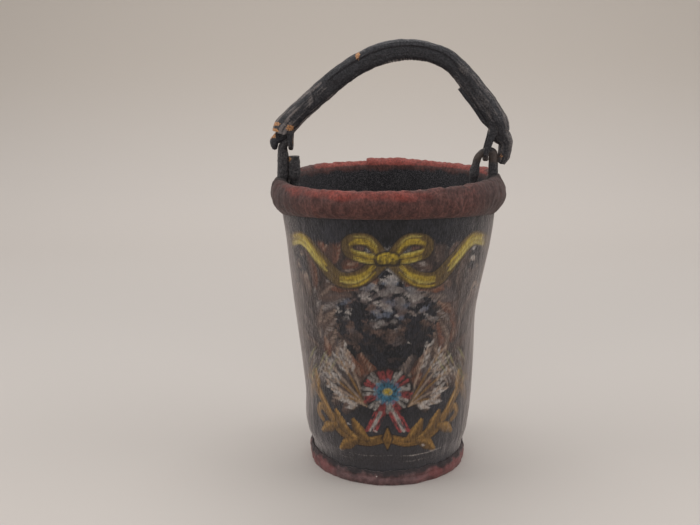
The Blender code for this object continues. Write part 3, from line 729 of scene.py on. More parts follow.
def ribbon(points, width, bright):
    """A flat gilt ribbon: dark outline, brown shade, and bright stretches with the bristles showing."""
    both(points, width + 3, INK, 0.9, (1, 1, 0.8))
    both(points, width, GILT_DARK, 0.9, (1, 1, 0.8))
    line = route(points, RIBBON_STEPS)
    last_step = RIBBON_STEPS - 1
    for first, last in bright:
        for shift in np.linspace(-0.36, 0.36, 7):
            start = int(last_step * (first + hand.uniform(0, 0.06)))
            stop = int(last_step * (last - hand.uniform(0, 0.06))) + 1
            tone = (GILT, GILT_LIGHT, GILT, GILT_DARK)[int(hand.integers(4))] * hand.uniform(0.85, 1.05)
            both(line[start:stop] + (0, shift * width), width * 0.2, tone, 0.85, (0.4, 1, 0.4), 1, 0.6)
    for k in range(4, 37, 4):
        both([line[k] - (1, width * 0.4), line[k] + (1.5, width * 0.1)], 1.3, INK, 0.5, (0.6, 1, 0.2))


ribbon(BOW_TAIL, 15, ((0.06, 0.36), (0.46, 0.95)))
ribbon(BOW_LOOP, 11, ((0.10, 0.50), (0.66, 0.98)))
brush([(-6, 231), (0, 232), (6, 231)], 15, INK, 0.9, (0.9, 1, 0.9))
brush([(-5, 231.5), (0, 232.5), (5, 231.5)], 11, GILT, 0.9, (0.9, 1, 0.9), 1.2, 0.7)
print("bow", 2 * BOW_TAIL[-1][0], "mm wide")

# %% [markdown]
# ## Painted front: grain and rosette
# Two sheaves of pale grain lean out from a pleated rosette in red, white and blue, with two striped tails. Circles
# and wedges would come out too clean. Each ear, grain and pleat is one short stroke with a little chance in its
# length and tone, as a quick hand would leave it.

# %% Painted front: grain and rosette
SHEAF_FOOT = np.array([20, 84])
EARS, GRAINS = 7, 7
ROSETTE = np.array([0, 99])
OUTER_PLEATS, INNER_PLEATS = 30, 14
FULL = (1, 1, 1)

for side in (-1, 1):
    foot = SHEAF_FOOT * (side, 1)
    for k in range(EARS):
        lean = math.radians(18 + 13 * k + hand.uniform(-4, 4))
        ahead = np.array([side * math.sin(lean), math.cos(lean)])
        reach = 62 - 1.2 * k * k + hand.uniform(-4, 4)
        stalk = [foot, foot + ahead * reach * 0.5 + (0, 3), foot + ahead * reach]
        brush(stalk, 2.4, (TAN, OCHRE)[k % 2], 0.75, (0.8, 1, 0.6))
        for j in range(GRAINS):
            grain = foot + ahead * reach * (0.62 + 0.06 * j)
            flip = (-1) ** j * np.array([ahead[1], -ahead[0]])
            awn = [grain, grain + 3 * flip + 4 * ahead, grain + 3.5 * flip + 8 * ahead]
            brush(awn, 3.6, (GREY_WHITE, TAN, GREY_WHITE)[(j + k) % 3], 0.8, (0.5, 1, 0.2), 1, 0.6)


def ray(turn):
    """Unit step away from the rosette's middle."""
    return np.array([math.sin(turn), math.cos(turn)])


brush([ROSETTE - (0.5, 0), ROSETTE, ROSETTE + (0.5, 0)], 50, INK, 0.95, FULL)
for k in range(OUTER_PLEATS):
    out = ray(2 * math.pi * (k + hand.uniform(-0.2, 0.2)) / OUTER_PLEATS)
    pleat = [ROSETTE + 11 * out, ROSETTE + 16 * out, ROSETTE + hand.uniform(20.5, 23.5) * out]
    brush(pleat, 3.7, (RED, GREY_WHITE)[k // 2 % 2] * hand.uniform(0.72, 1), 0.85, (0.7, 0.9, 1), 0.9, 0.7)
for k in range(INNER_PLEATS):
    out = ray(2 * math.pi * k / INNER_PLEATS)
    pleat = [ROSETTE + 4 * out, ROSETTE + 8 * out, ROSETTE + 11.5 * out]
    brush(pleat, 4.6, BLUE * hand.uniform(0.7, 1.1), 0.85, (0.8, 1, 1), 0.9, 0.7)
brush([ROSETTE - (1, 0), ROSETTE, ROSETTE + (1, 0)], 7.5, GILT, 0.9, FULL, 1.1, 0.6)
for k, tone in enumerate((RED, GREY_WHITE, RED)):
    shift = 4 * (k - 1)
    tail = [(7 + shift, 77), (11 + shift, 68), (16 + shift, 58)]
    both(tail, 4, tone * 0.85, 0.85, FULL, 0.9, 0.7)
print("rosette of", OUTER_PLEATS + INNER_PLEATS, "pleats between", 2 * EARS, "ears")

# %% [markdown]
# ## Painted front: scrolls and last touches
# Ochre scrolls with curling leaves close the emblem below, over two thin pale lines and a few loose flecks.
# A stencil would repeat them exactly. The same brush and leaf as above are used, mirrored left and right, so that the
# scrolls share the hand of the rest.

# %% Painted front: scrolls and last touches
LOW_SCROLL = [(3, 50), (22, 46), (44, 53), (62, 68), (74, 73), (79, 65), (71, 59)]
SIDE_SCROLL = [(58, 64), (76, 86), (92, 98), (104, 94)]
SCROLL_LEAVES = (
    (20, 48, 20, 14), (38, 52, 22, 16), (30, 46, -13, 18),
    (52, 58, -12, 20), (78, 88, 22, 4), (84, 92, -18, 12),
)
FLECKS = ((-16, 192), (21, 148), (-38, 62), (9, 176), (-11, 57), (36, 40))


def scroll(points, width):
    """An ochre scroll, light along its upper side and dark along its lower."""
    both(points, width + 3, INK, 0.85, (0.7, 1, 0.5))
    both(points, width, OCHRE, 0.92, (0.7, 1, 0.4), 1.1, 0.5)
    line = route(points, 12)[1:11]
    both(line + (0, width * 0.22), width * 0.3, OCHRE_LIGHT, 0.75, (0.3, 1, 0.3), 1, 0.7)
    both(line - (0, width * 0.28), width * 0.25, OCHRE_DARK, 0.7, (0.3, 1, 0.3), 1, 0.7)


scroll(LOW_SCROLL, 12)
scroll(SIDE_SCROLL, 10)
for side in (-1, 1):
    for s, z, up, out in SCROLL_LEAVES:
        midrib = [(side * s, z), (side * (s + out * 0.6), z + up * 0.45), (side * (s + out), z + up)]
        leaf(midrib, 11, OCHRE_DARK, OCHRE, OCHRE_LIGHT, 0.9)
brush([(0, 62), (0, 51), (0, 38)], 12, INK, 0.9, (0.3, 1, 0.2))
brush([(0, 60), (0, 51), (0, 40)], 9, OCHRE, 0.9, (0.2, 1, 0.2), 1.1, 0.6)
for k in range(34):
    s, z = hand.uniform(-100, -56), hand.uniform(92, 124)
    blade = [(s, z), (s + 3, z + 6), (s + 8, z + 11)]
    both(blade, 1.5, (STRAW, GREY_WHITE, OCHRE)[k % 3], 0.5, (1, 0.8, 0.3))
for z, width in ((31, 2.6), (24.5, 1.6)):
    line = [(-62, z + 1.5), (-30, z - 0.5), (0, z), (30, z - 0.5), (62, z + 1.5)]
    brush(line, width, GREY_WHITE, 0.6, (0.4, 1, 0.4), 1.2, 0.9)
for s, z in FLECKS:
    brush([(s - 1.2, z + 0.8), (s, z), (s + 1.2, z - 0.6)], 1.8, GREY_WHITE, 0.95, (1, 1, 0.6), 0.8)
print("paint covers", round(float((cover > 0.5).mean()), 3), "of the outside")

# %% [markdown]
# ## Painted hide: marks
# The finish has to know where the wall is painted, where it is the inside and where its sides are worn and
# lightened with a painted sheen.
# Masks could be images. Numbers kept on the points are used instead, because the strokes are on the points already,
# and they stay with the wall when it is exported or moved.

# %% Painted hide: marks
def wall_mark(name, outside, inside=0):
    """Keep one share on the wall's outer points and another on its inner ones."""
    within = np.full(inner.shape[:2], inside)
    mark(body_wall, name, np.concatenate([outside + 0 * cover, within], 1))


thickness = cover[..., None]
flat_paint = np.where(thickness > 1e-4, paint / np.maximum(thickness, 1e-4), 0)
shades = np.concatenate([flat_paint, np.zeros((*inner.shape[:2], 3))], 1)
full = np.concatenate([shades, np.ones((*shades.shape[:2], 1))], -1)
kept = body_wall.data.attributes.new("paint", "FLOAT_COLOR", "POINT")
kept.data.foreach_set("color", full.astype(np.float32).ravel())
# The sides' pale fibre share is part wear and part painted sheen, where the wall turns away from the light.
aside = np.abs(turn_from(wall_turn, FRONT))
flank_wear_and_sheen = ease(aside, 0.80, 1.30) * (1 - ease(aside, 1.60, 2.30)) * (0.35 + 0.65 * ease(up_front, 30, 60))
flank_wear_and_sheen *= 1 - 0.45 * ease(up_front, 225, 255)
wall_mark("cover", cover)
wall_mark("inside", 0, 1)
wall_mark("flank_wear_and_sheen", flank_wear_and_sheen)
print("rubbed flanks take", round(float((flank_wear_and_sheen > 0.5).mean()), 3), "of the outside")

# %% [markdown]
# ## Painted hide: finish
# Black oil paint lies over hide whose fibres run up the wall: it thins on the ridges, the sides are worn to brown
# and lightened with a painted sheen where they turn from the light, the inside is lifted with painted light and the
# foot is dusty. A flat black would do from afar, but the fibre is what says leather. So most noises are drawn out
# upwards, the emblem breaks up with the same fibres, and a sheen like a nap's lights the edges.

# %% Painted hide: finish
hide = Finish("painted_black_hide")
fibre = hide.noise(0.0015, 0.34, 5, 0.62)
ridge = hide.noise(0.0060, 0.25, 3, 0.55)
pores = hide.noise(0.0008, 0.6, 2)
patch = hide.noise(0.024, 0.7, 4)
grey = hide.over(fibre, patch, 0.6)
black = hide.two_tone(grey, 0.60, 1.10, (10, 10, 15), (45, 44, 52))
black = hide.layer(black, hide.noise(0.019, 0.5, 5), (0.56, 0.76, 0.5), (50, 46, 48))
black = hide.layer(black, hide.noise(0.0013, 0.26, 3), (0.58, 0.76, 0.36), (90, 87, 91))
dust = hide.ramp(hide.axis(2), 0.030, 0.100, 0.32, 0)
black = hide.mix(dust, black, tint(92, 87, 89))
# The inside takes paler paints than the outside: painted light that lifts the shaded inside, with pale specks.
inside_painted_lift = hide.two_tone(grey, 0.60, 1.05, (42, 41, 48), (106, 102, 106))
inside_painted_lift = hide.layer(inside_painted_lift, hide.noise(0.0012, 0.45, 2), (0.66, 0.74, 0.6), (150, 146, 146))
black = hide.mix(hide.mark("inside"), black, inside_painted_lift)
held = hide.stir(hide.stir(hide.mark("cover"), fibre, 0.55), pores, 0.35)
held = hide.sums("MULTIPLY", hide.ramp(held, 0.15, 0.72), hide.ramp(hide.mark("cover"), 0.02, 0.2))
thin = hide.ramp(fibre, 0.32, 0.70, 0.68, 1.36)
emblem = hide.mix(1, hide.shade("paint"), thin, "MULTIPLY")
coat = hide.mix(held, black, emblem)
strand = hide.noise(0.0016, 0.32, 5, 0.70)
# Pale brown fibre laid on the sides: wear and a painted sheen in one.
worn_fibre_and_sheen = hide.two_tone(strand, 0.30, 0.72, (50, 45, 45), (116, 104, 99))
blotch = hide.noise(0.045, 0.6, 5, 0.62)
bare_and_sheen = hide.ramp(hide.stir(hide.mark("flank_wear_and_sheen"), blotch, 2.2), 0.35, 1.10)
bare_and_sheen = hide.sums("MULTIPLY", bare_and_sheen, hide.ramp(hide.mark("flank_wear_and_sheen"), 0.05, 0.5, 0, 0.74))
coat = hide.mix(bare_and_sheen, coat, worn_fibre_and_sheen)
rise = hide.over(hide.over(fibre, ridge, 0.8), pores, 0.25)
gloss = hide.ramp(fibre, 0.3, 0.7, 0.66, 0.50)
hide_look = hide.done(coat, gloss, rise, 0.00080, 0.45, 0.95)
stand_for(body_wall, "bucket", "black_leather", hide_look, "body_wall")

# %% [markdown]
# ## Rolled rim: section
# A strip of red hide folds over the wall's top and an iron hoop. A round section would be quicker to sweep.
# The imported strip's own section is drawn again here, from the inner leg over the crown to the lip, because the roll
# then keeps its seat on the wall.

# %% Rolled rim: section
RIM_TOP, RIM_LIP, RIM_BULGE = 0.2950, 0.2610, 0.2810
RIM_RADIUS = 0.1150
RIM_COVER = 0.0035
FIT = 0.0003
RIM_SHOULDER = TOP_HEIGHT + FIT
OUTER_STEPS, INNER_STEPS = 10, 3


def quarter(start, stop, middle, steps):
    """Points of a quarter oval from start to stop."""
    a = 0.5 * math.pi * np.arange(1, steps + 1)[:, None] / steps
    start, stop, middle = np.array(start), np.array(stop), np.array(middle)
    return middle + (start - middle) * np.cos(a) + (stop - middle) * np.sin(a)


def rim_outline(inset, steps):
    """One face of the folded strip, from the inner leg over the crown to the lip."""
    leg = FIT + RIM_COVER - inset
    foot = np.array([float(wall_outer(RIM_LIP)) - WALL_THICKNESS - leg, RIM_LIP])
    shoulder = np.array([float(wall_outer(RIM_SHOULDER)) - WALL_THICKNESS - leg, RIM_SHOULDER])
    crown_middle = (float(wall_outer(RIM_SHOULDER)) - WALL_THICKNESS + RIM_RADIUS) / 2 - RIM_COVER / 2
    crown = (crown_middle, RIM_TOP - inset)
    bulge = (RIM_RADIUS - inset, RIM_BULGE)
    lip = (float(wall_outer(RIM_LIP + inset)) + FIT, RIM_LIP + inset)
    leg_points = foot + (shoulder - foot) * np.linspace(0, 1, steps + 1)[:, None]
    over = quarter(shoulder, crown, (crown[0], shoulder[1]), steps)
    out = quarter(crown, bulge, (crown[0], bulge[1]), steps)
    under = quarter(bulge, lip, (lip[0], bulge[1]), steps)
    return np.concatenate([leg_points, over, out, under])


section = np.concatenate([rim_outline(0, OUTER_STEPS), rim_outline(RIM_COVER, INNER_STEPS)[::-1]])
print("rim section of", len(section), "points")

# %% [markdown]
# ## Rolled rim: shape
# The strip's end laps over its start at the back, and the roll has slumped: higher on the right, shallow in front and
# lower at the sides. Proportional editing by hand would do it once. Lift, tilt, lap and crumbled crown are added one
# by one instead, because each can then be set against the photograph by itself.

# %% Rolled rim: shape
RIM_LAP = math.radians(102)
RIM_COLUMNS = 440
FRONT_LIFT, SIDE_SAG, SIDE_TILT = 0.0078, 0.0026, 0.0022
LAP_RISE = 0.0034

columns = np.linspace(0, 2 * math.pi, RIM_COLUMNS, endpoint=False)
columns = np.sort(np.concatenate([columns, [RIM_LAP - 0.003, RIM_LAP + 0.003]]))
angle = np.repeat(columns[:, None], len(section), 1)
radius = np.repeat(section[None, :, 0], len(columns), 0)
height = np.repeat(section[None, :, 1], len(columns), 0)
spot = around(radius, angle, height)
outside = ease(radius, 0.0995, 0.1025)
low = np.clip((RIM_BULGE + 0.006 - height) / (RIM_BULGE + 0.006 - RIM_LIP), 0, 1)
high = ease(height, RIM_LIP + 0.004, RIM_LIP + 0.020)
front = np.clip(-np.sin(angle), 0, 1) ** 1.3
lift = FRONT_LIFT * front - SIDE_SAG * np.abs(np.cos(angle)) ** 6
past = (RIM_LAP - angle) % (2 * math.pi)
lap = (1 - ease(past, 0.1, 1.15)) * (past < 2)
swell = 0.0011 * lumps(spot, 0.021, 21) + 0.0008 * lumps(spot * (1, 1, 0.5), 0.0060, 22)
swell += 0.00055 * lumps(spot, 0.0030, 25)
height = height + outside * low * lift + high * (SIDE_TILT * np.cos(angle) + LAP_RISE * lap) + 0.5 * high * swell
radius = radius + outside * (0.0007 * lap + swell) - 0.0006 * outside * low * (1 - front)
radius = radius + outside * 0.0019 * facing(angle, 0, 0.4) * hump(height, 0.279, 0.009)
height = height - 0.0018 * high * facing(angle, -0.1, 0.35)
height = height + 0.0027 * high * facing(angle, 2.35, 0.55) - 0.0009 * high * facing(angle, 0.8, 0.4)
crumble = 0.0008 * lumps(spot, 0.0048, 26) + 0.0005 * lumps(spot, 0.0024, 27)
height = height + crumble * ease(spot[..., 2], RIM_TOP - 0.012, RIM_TOP - 0.002)
rings = around(radius, angle, height)
rim_roll = skin("rim_roll", rings, closed=True)
print("rim of", len(columns), "columns, up to", round(1000 * float(height.max()), 1), "mm")

# %% [markdown]
# ## Rolled rim: finish
# The red is brightened along the crown and the back, a painted highlight where the roll faces up to the light, and
# darkened to brown at the two sides and near black round the loops, painted shade in the gap where they leave the
# roll; inside, the black of the wall runs ragged into it. One mottled red would look new. Marks on the points say
# where each of these lies, and noises unsettle their edges, so that no edge follows the mesh.

# %% Rolled rim: finish
ragged = 0.0018 * lumps(spot, 0.012, 23) + 0.0014 * lumps(spot, 0.0030, 24)
inner_leg = 1 - ease(radius, 0.1005, 0.1022)
mark(rim_roll, "red", 1 - inner_leg * (1 - ease(height + ragged, RIM_TOP - 0.0085, RIM_TOP - 0.0060)))
x, y, z = np.moveaxis(rings, -1, 0)
# Painted shade round the loops, in the gap where they leave the roll.
loops_left = hump(x, -0.0985, 0.014) * hump(y, -0.004, 0.017)
loops_right = 0.75 * hump(x, 0.0980, 0.018) * hump(y, -0.006, 0.020)
mark(rim_roll, "loop_gap_shade", np.clip(1.25 * (loops_left + loops_right) * ease(z, 0.272, 0.289), 0, 1))
# Painted highlight: a brighter red where the crown and the back of the roll face up to the light.
bright = 0.80 * facing(angle, FRONT - 0.30, 0.95) * hump(z, 0.2915, 0.0065)
back = ease(np.sin(angle), 0.05, 0.45) * (1 - 0.5 * ease(-np.cos(angle), 0.2, 0.9))
bright += back * ease(z, 0.2905, 0.2955)
bright += 0.55 * hump(z, 0.2945, 0.003) * (1 - outside)
mark(rim_roll, "bright", np.clip(bright, 0, 1))
# The two sides of the roll, where painted shade darkens the red.
mark(rim_roll, "ends", ease(np.abs(np.cos(angle)), 0.55, 0.95))

rim = Finish("red_rim_hide")
mottle = rim.noise(0.0065, 0.7, 5, 0.62)
wrinkle = rim.noise(0.0030, 0.35, 4, 0.6)
patch = rim.noise(0.024, 1.4, 4)
pores = rim.noise(0.0010, detail=3)
smear = rim.noise(0.015, 1.2, 4)
grain = rim.noise(0.0020, 0.6, 4, 0.7)
red = rim.two_tone(mottle, 0.28, 0.72, (66, 44, 42), (100, 63, 57))
# Painted shade: the two sides of the roll are darkened to brown.
red = rim.layer(red, rim.mark("ends"), (0, 1, 0.7), (60, 48, 47))
crown_highlight = rim.stir(rim.mark("bright"), patch, 1.2)
red = rim.layer(red, crown_highlight, (0.25, 0.85, 0.8), (138, 62, 53))
red = rim.layer(red, smear, (0.54, 0.76, 0.65), (50, 40, 40))
red = rim.layer(red, pores, (0.55, 0.80, 0.25), (120, 98, 92))
# Near black laid round the loops as painted shade.
loop_gap_shade_edge = rim.stir(rim.mark("loop_gap_shade"), mottle, 0.9)
red = rim.layer(red, loop_gap_shade_edge, (0.25, 0.75, 0.92), (40, 36, 36))
red = rim.mix(1, red, rim.ramp(grain, 0.32, 0.68, 0.62, 1.42), "MULTIPLY")
dark = rim.two_tone(pores, 0.42, 0.70, (24, 23, 27), (84, 80, 83))
coat = rim.mix(rim.mark("red"), dark, red)
rise = rim.over(rim.over(mottle, wrinkle, 0.7), pores, 0.4)
rim_look = rim.done(coat, rim.ramp(mottle, 0.3, 0.7, 0.78, 0.62), rise, 0.0008, 0.35, 0.12)
stand_for(rim_roll, "bucket", "red_leather", rim_look, "rim_cover")

# %% [markdown]
# ## Foot band: shape
# A narrow welt of dull red hide is sewn round the foot, with a ragged top edge and a crease along its middle.
# A plain hoop with a bump map would keep a straight edge against the wall and the floor. The points themselves are
# moved instead, so that the raggedness shows in the outline too.

# %% Foot band: shape
BAND_INNER = FOOT_RADIUS + FIT
BAND_OUTER = BAND_INNER + 0.0032
BAND_HEIGHT = 0.0148
BAND_COLUMNS, BAND_ROWS, BAND_BACK_ROWS = 420, 14, 5
LEVEL = (1, 1, 0)

columns = np.linspace(0, 2 * math.pi, BAND_COLUMNS, endpoint=False)
face = np.linspace(0, 1, BAND_ROWS)
angle = np.repeat(columns[:, None], BAND_ROWS, 1)
spot = around(0.08, angle, face * BAND_HEIGHT)
top = BAND_HEIGHT + 0.0017 * lumps(spot * LEVEL, 0.016, 31) + 0.0010 * lumps(spot * LEVEL, 0.004, 32)
top = top + 0.0022 * np.abs(np.cos(angle)) ** 3
round_off = 0.0016 * ease(face, 0.66, 1) + 0.0014 * (1 - ease(face, 0, 0.30))
crease = 0.0011 * hump(face, 0.55 + 0.12 * lumps(spot * LEVEL, 0.02, 33), 0.10)
radius = BAND_OUTER - round_off - crease + 0.0010 * lumps(spot, 0.016, 34) + 0.0008 * lumps(spot, 0.005, 35)
radius = radius + 0.0011 * np.clip(-np.cos(angle), 0, 1) ** 4 * hump(face, 0.75, 0.35)
radius = radius - 0.0012 * np.clip(np.cos(angle), 0, 1) ** 2
back_angle = np.repeat(columns[:, None], BAND_BACK_ROWS, 1)
back_height = np.linspace(1, 0, BAND_BACK_ROWS) * top[:, -1:]
height = np.concatenate([face * top, back_height], 1)
angle = np.concatenate([angle, back_angle], 1)
radius = np.concatenate([radius, np.full_like(back_angle, BAND_INNER)], 1)
foot_welt = skin("foot_welt", around(radius, angle, height), closed=True)
print("foot band from", *(round(1000 * float(v), 1) for v in (top.min(), top.max())), "mm high")

# %% [markdown]
# ## Foot band: finish
# The red has dulled, is livelier at the two sides, and the black coat of the wall has run over its top edge. A second
# material could be given to a strip of faces, but its border would be straight. A height stirred by a noise makes the
# border wander, as a brush held against the wall would.

# %% Foot band: finish
mark(foot_welt, "ends", ease(np.abs(np.cos(angle)), 0.45, 0.85) + 0.7 * facing(angle, FRONT + 0.62, 0.3))
mark(foot_welt, "fleck", facing(angle, FRONT - 0.13, 0.009) * hump(height, 0.0095, 0.0011))
welt = Finish("dull_red_hide")
mottle = welt.noise(0.0055, detail=5)
smear = welt.noise(0.012, 0.8, 4)
pores = welt.noise(0.0010, detail=3)
stain = welt.noise(0.017, detail=4)
red = welt.two_tone(mottle, 0.30, 0.70, (92, 70, 71), (126, 96, 95))
bloom = welt.stir(welt.mark("ends"), smear, 1.4)
red = welt.layer(red, bloom, (0.25, 0.95, 0.75), (126, 72, 71))
red = welt.layer(red, stain, (0.50, 0.70, 0.7), (62, 54, 56))
edge = welt.stir(welt.axis(2), smear, 0.020)
red = welt.layer(red, edge, (0.0086, 0.0140, 0.92), (46, 43, 45))
red = welt.layer(red, pores, (0.58, 0.8, 0.3), (128, 104, 99))
red = welt.layer(red, welt.mark("fleck"), (0.2, 0.6, 1), (206, 200, 194))
rise = welt.over(mottle, pores, 0.5)
welt_look = welt.done(red, welt.ramp(mottle, 0.3, 0.7, 0.78, 0.6), rise, 0.0009, 0.35, 0.2)
stand_for(foot_welt, "bucket", "dull_red_leather", welt_look, "foot_band")

# %% [markdown]
# ## Bottom and hoop
# The bottom is a turned-up disc of the same hide, black with pitch inside, and the iron hoop is hidden in the rim's
# roll. Both could be rebuilt with wear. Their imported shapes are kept, because the floor and the rim hide all but the
# inside of the bottom, and only their finishes are new.

# %% Bottom and hoop
pitch = Finish("pitched_hide")
mottle = pitch.noise(0.006, detail=5)
pores = pitch.noise(0.0012, detail=3)
patch = pitch.noise(0.03, detail=4)
coat = pitch.two_tone(mottle, 0.35, 0.7, (24, 22, 22), (66, 58, 54))
coat = pitch.layer(coat, patch, (0.5, 0.68, 0.6), (86, 70, 60))
rise = pitch.over(mottle, pores, 0.4)
refinish("base_pan", pitch.done(coat, pitch.ramp(mottle, 0.3, 0.7, 0.7, 0.45), rise, 0.0006, 0.4))
forged = Finish("forged_iron")
scale = forged.noise(0.003, detail=5)
coat = forged.two_tone(scale, 0.35, 0.65, (52, 48, 46), (104, 82, 66))
forged.shader.inputs["Metallic"].default_value = 0.8
refinish("rim_hoop", forged.done(coat, forged.ramp(scale, 0.3, 0.7, 0.45, 0.75), scale, 0.0003))

# %% [markdown]
# ## Seam and loop stitches
# The back lap is held by two rows of waxed linen that go in and out of the hide. A dashed line of short rods would
# pass from afar. Each row is one cord that follows its holes from foot to rim, because the cord can be seen going in
# at the end of each stitch, and its two plies are a small twist in the cross-section.

# %% Seam and loop stitches
THREAD = 0.0007
PLY_TURN = 0.0011
CORD_STEP = 0.0009
CORD_SIDES = 10
SEAM_OFFSET = 0.0065
STITCH_HEIGHTS = np.linspace(0.030, 0.252, 16)

linen = Finish("waxed_linen")
ply = linen.noise(0.0006, 2, 3)
soil = linen.noise(0.012, detail=3)
coat = linen.two_tone(ply, 0.3, 0.7, (66, 56, 46), (128, 112, 90))
coat = linen.layer(coat, soil, (0.42, 0.62, 0.85), (38, 34, 32))
waxed = linen.done(coat, 0.7, ply, 0.0002, 0.35)


def stitch_row(name, offset, node):
    """Two-ply cord following the row's holes from foot to rim."""
    path = []
    for k, z in enumerate(STITCH_HEIGHTS):
        reach = float(wall_outer(z))
        inside = math.sqrt((reach - WALL_THICKNESS) ** 2 - offset**2) - THREAD - FIT
        outside = math.sqrt(reach**2 - offset**2) + THREAD + FIT
        path += [(inside, z), (outside, z)] if k % 2 == 0 else [(outside, z), (inside, z)]
    corners = np.array(path)
    length = travel(corners)
    want = np.linspace(0, length[-1], int(length[-1] / CORD_STEP))
    line = places_at(want, length, corners)
    for _ in range(2):
        line[1:-1] = 0.25 * line[:-2] + 0.5 * line[1:-1] + 0.25 * line[2:]
    turn = 2 * math.pi * np.arange(CORD_SIDES) / CORD_SIDES
    plies = THREAD * (0.92 + 0.16 * np.cos(2 * (turn[None, :] - want[:, None] / PLY_TURN)))
    rings = tube(line, plies * np.cos(turn), offset + plies * np.sin(turn))
    rings = np.stack([rings[..., 1], rings[..., 0], rings[..., 2]], -1)
    stand_for(skin(name, rings), "bucket", "waxed_linen", waxed, node)


stitch_row("seam_stitches_left", SEAM_OFFSET, "seam_thread_left")
stitch_row("seam_stitches_right", -SEAM_OFFSET, "seam_thread_right")
refinish("lug_thread_left", waxed)
refinish("lug_thread_right", waxed)

# %% [markdown]
# ## Rim loops: finish
# The loops are thongs of the same black hide, worn to brown where the bail has worked on them, which on the right
# loop's arch top is also a painted highlight, and tan where they have torn. Three materials could share them out
# by faces. One finish with a worn and a torn mark blends instead, because worn leather has no clear border between
# the three.

# %% Rim loops: finish
thong_hide = Finish("worn_thong_hide")
fibre = thong_hide.noise(0.0014, detail=5)
patch = thong_hide.noise(0.008, detail=4)
coat = thong_hide.two_tone(fibre, 0.35, 0.72, (27, 26, 29), (84, 79, 80))
wear_and_painted_light = thong_hide.stir(thong_hide.mark("wear_and_painted_light"), patch, 1.3)
coat = thong_hide.layer(coat, wear_and_painted_light, (0.40, 0.90, 0.75), (92, 79, 72))
raw = thong_hide.stir(thong_hide.mark("torn"), fibre, 1.6)
coat = thong_hide.layer(coat, raw, (0.5, 0.8, 1), (178, 130, 84))
thong_look = thong_hide.done(coat, thong_hide.ramp(fibre, 0.3, 0.7, 0.66, 0.46), fibre, 0.0008, 0.4, 0.2)

# %% [markdown]
# ## Rim loops: thong
# Each loop is a round thong with a tail sewn inside the wall. A bevelled curve would have one thickness. The bench
# tools sweep it here, because a swollen foot, a thin top and a torn end are then a few numbers each.

# %% Rim loops: thong
TAIL_LOW, TAIL_HIGH = 0.2577, 0.2687
TAIL_GAP = 0.0011


def tail_x(z, thick):
    """Middle of a tail that lies on the rim strip's inner leg."""
    return float(wall_outer(z)) - WALL_THICKNESS - TAIL_GAP - RIM_COVER - thick


def thong(name, points, thick, swell, wear_and_painted_light, torn, node):
    """A round thong along an (x, z) path, lumpy, with its swollen, worn and torn places, worn partly as highlight."""
    path = route(points, 84)
    across, deep = oval(20, 0.9)
    fat = thick * swell(path[:, :1], path[:, 1:])
    rings = uneven(tube(path, fat * across, fat * deep), 0.10, 0.006, 0.06, 41)
    rings = close_ends(rings, 0.0004, 0.0008, 43)
    piece = skin(name, rings)
    places = np.moveaxis(rings, -1, 0)
    mark(piece, "wear_and_painted_light", np.clip(wear_and_painted_light(*places), 0, 1))
    mark(piece, "torn", np.clip(torn(*places), 0, 1))
    return stand_for(piece, "bucket", "worn_brown_leather", thong_look, node)


def above_rim(z):
    """0 inside the rim's roll, 1 where a thong has come out of it."""
    return ease(z, 0.288, 0.296)


print("tails lie from", 1000 * TAIL_LOW, "to", 1000 * TAIL_HIGH, "mm up")

# %% [markdown]
# ## Rim loops: right loop
# The right loop is whole: it rises from inside the rim, leans over in an arch and goes down outside. Half a torus on
# two rods would show its joints. One path through the arch's own points keeps it a single bent thong.

# %% Rim loops: right loop
LOOP = 0.0037
SEAT = 0.1041
RIGHT_PIVOT = (0.0953, 0.3170)
RIGHT_ARCH = 0.0088


def right_swell(x, z):
    foot = (1 - ease(z, 0.297, 0.307)) * (1 - 0.7 * ease(x, 0.098, 0.103))
    return 1 + (0.22 * ease(x, 0.094, 0.099) + 0.30 * foot) * above_rim(z)


slant = RIGHT_ARCH * math.sqrt(0.5)
spring = RIGHT_PIVOT[1] - RIGHT_ARCH
inner_x = RIGHT_PIVOT[0] - RIGHT_ARCH
right = [(tail_x(TAIL_LOW, LOOP), TAIL_LOW), (tail_x(TAIL_HIGH, LOOP), TAIL_HIGH)]
right += [(inner_x - 0.0012, RIM_SHOULDER), (inner_x - 0.0012, RIM_TOP), (inner_x + 0.0012, spring)]
right += [(RIGHT_PIVOT[0] - slant + 0.0014, spring + slant - 0.0004), (RIGHT_PIVOT[0] + 0.0006, RIGHT_PIVOT[1])]
right += [(RIGHT_PIVOT[0] + slant + 0.0014, spring + slant + 0.0020)]
right += [(SEAT, spring), (SEAT, RIM_TOP), (SEAT, RIM_SHOULDER)]
# The right loop's arch top is worn brown, which is also a painted highlight where it catches the light.
right_wear_and_highlight, no_tear = (lambda x, y, z: 0.9 * hump(z, 0.313, 0.010)), (lambda x, y, z: 0 * z)
thong("loop_right", right, LOOP, right_swell, right_wear_and_highlight, no_tear, "lug_loop_right")

# %% [markdown]
# ## Rim loops: torn left loop
# The left loop has torn: its outer leg still bends through the bail's eye, and its inner leg is a square stub. One
# loop cut in two would leave clean faces. Two thongs with ends of their own are used, so that each can be torn.

# %% Rim loops: torn left loop
BAR, STUB = 0.0043, 0.0048
LEFT_PIVOT = (-0.0952, 0.3285)
BEND = 0.0070
LEFT_LEG = -SEAT + 0.0009
TORN_X = -0.0930
STUB_X, STUB_TOP = -0.0922, 0.3138


def left_swell(x, z):
    foot = (1 - ease(z, 0.309, 0.3195)) * ease(z, 0.287, 0.296)
    return 1 + 0.14 * (1 - ease(z, 0.320, 0.326)) + 0.24 * foot


def stub_swell(x, z):
    return 1 + (0.10 + 0.20 * (1 - ease(z, 0.303, 0.313))) * ease(z, 0.287, 0.296)


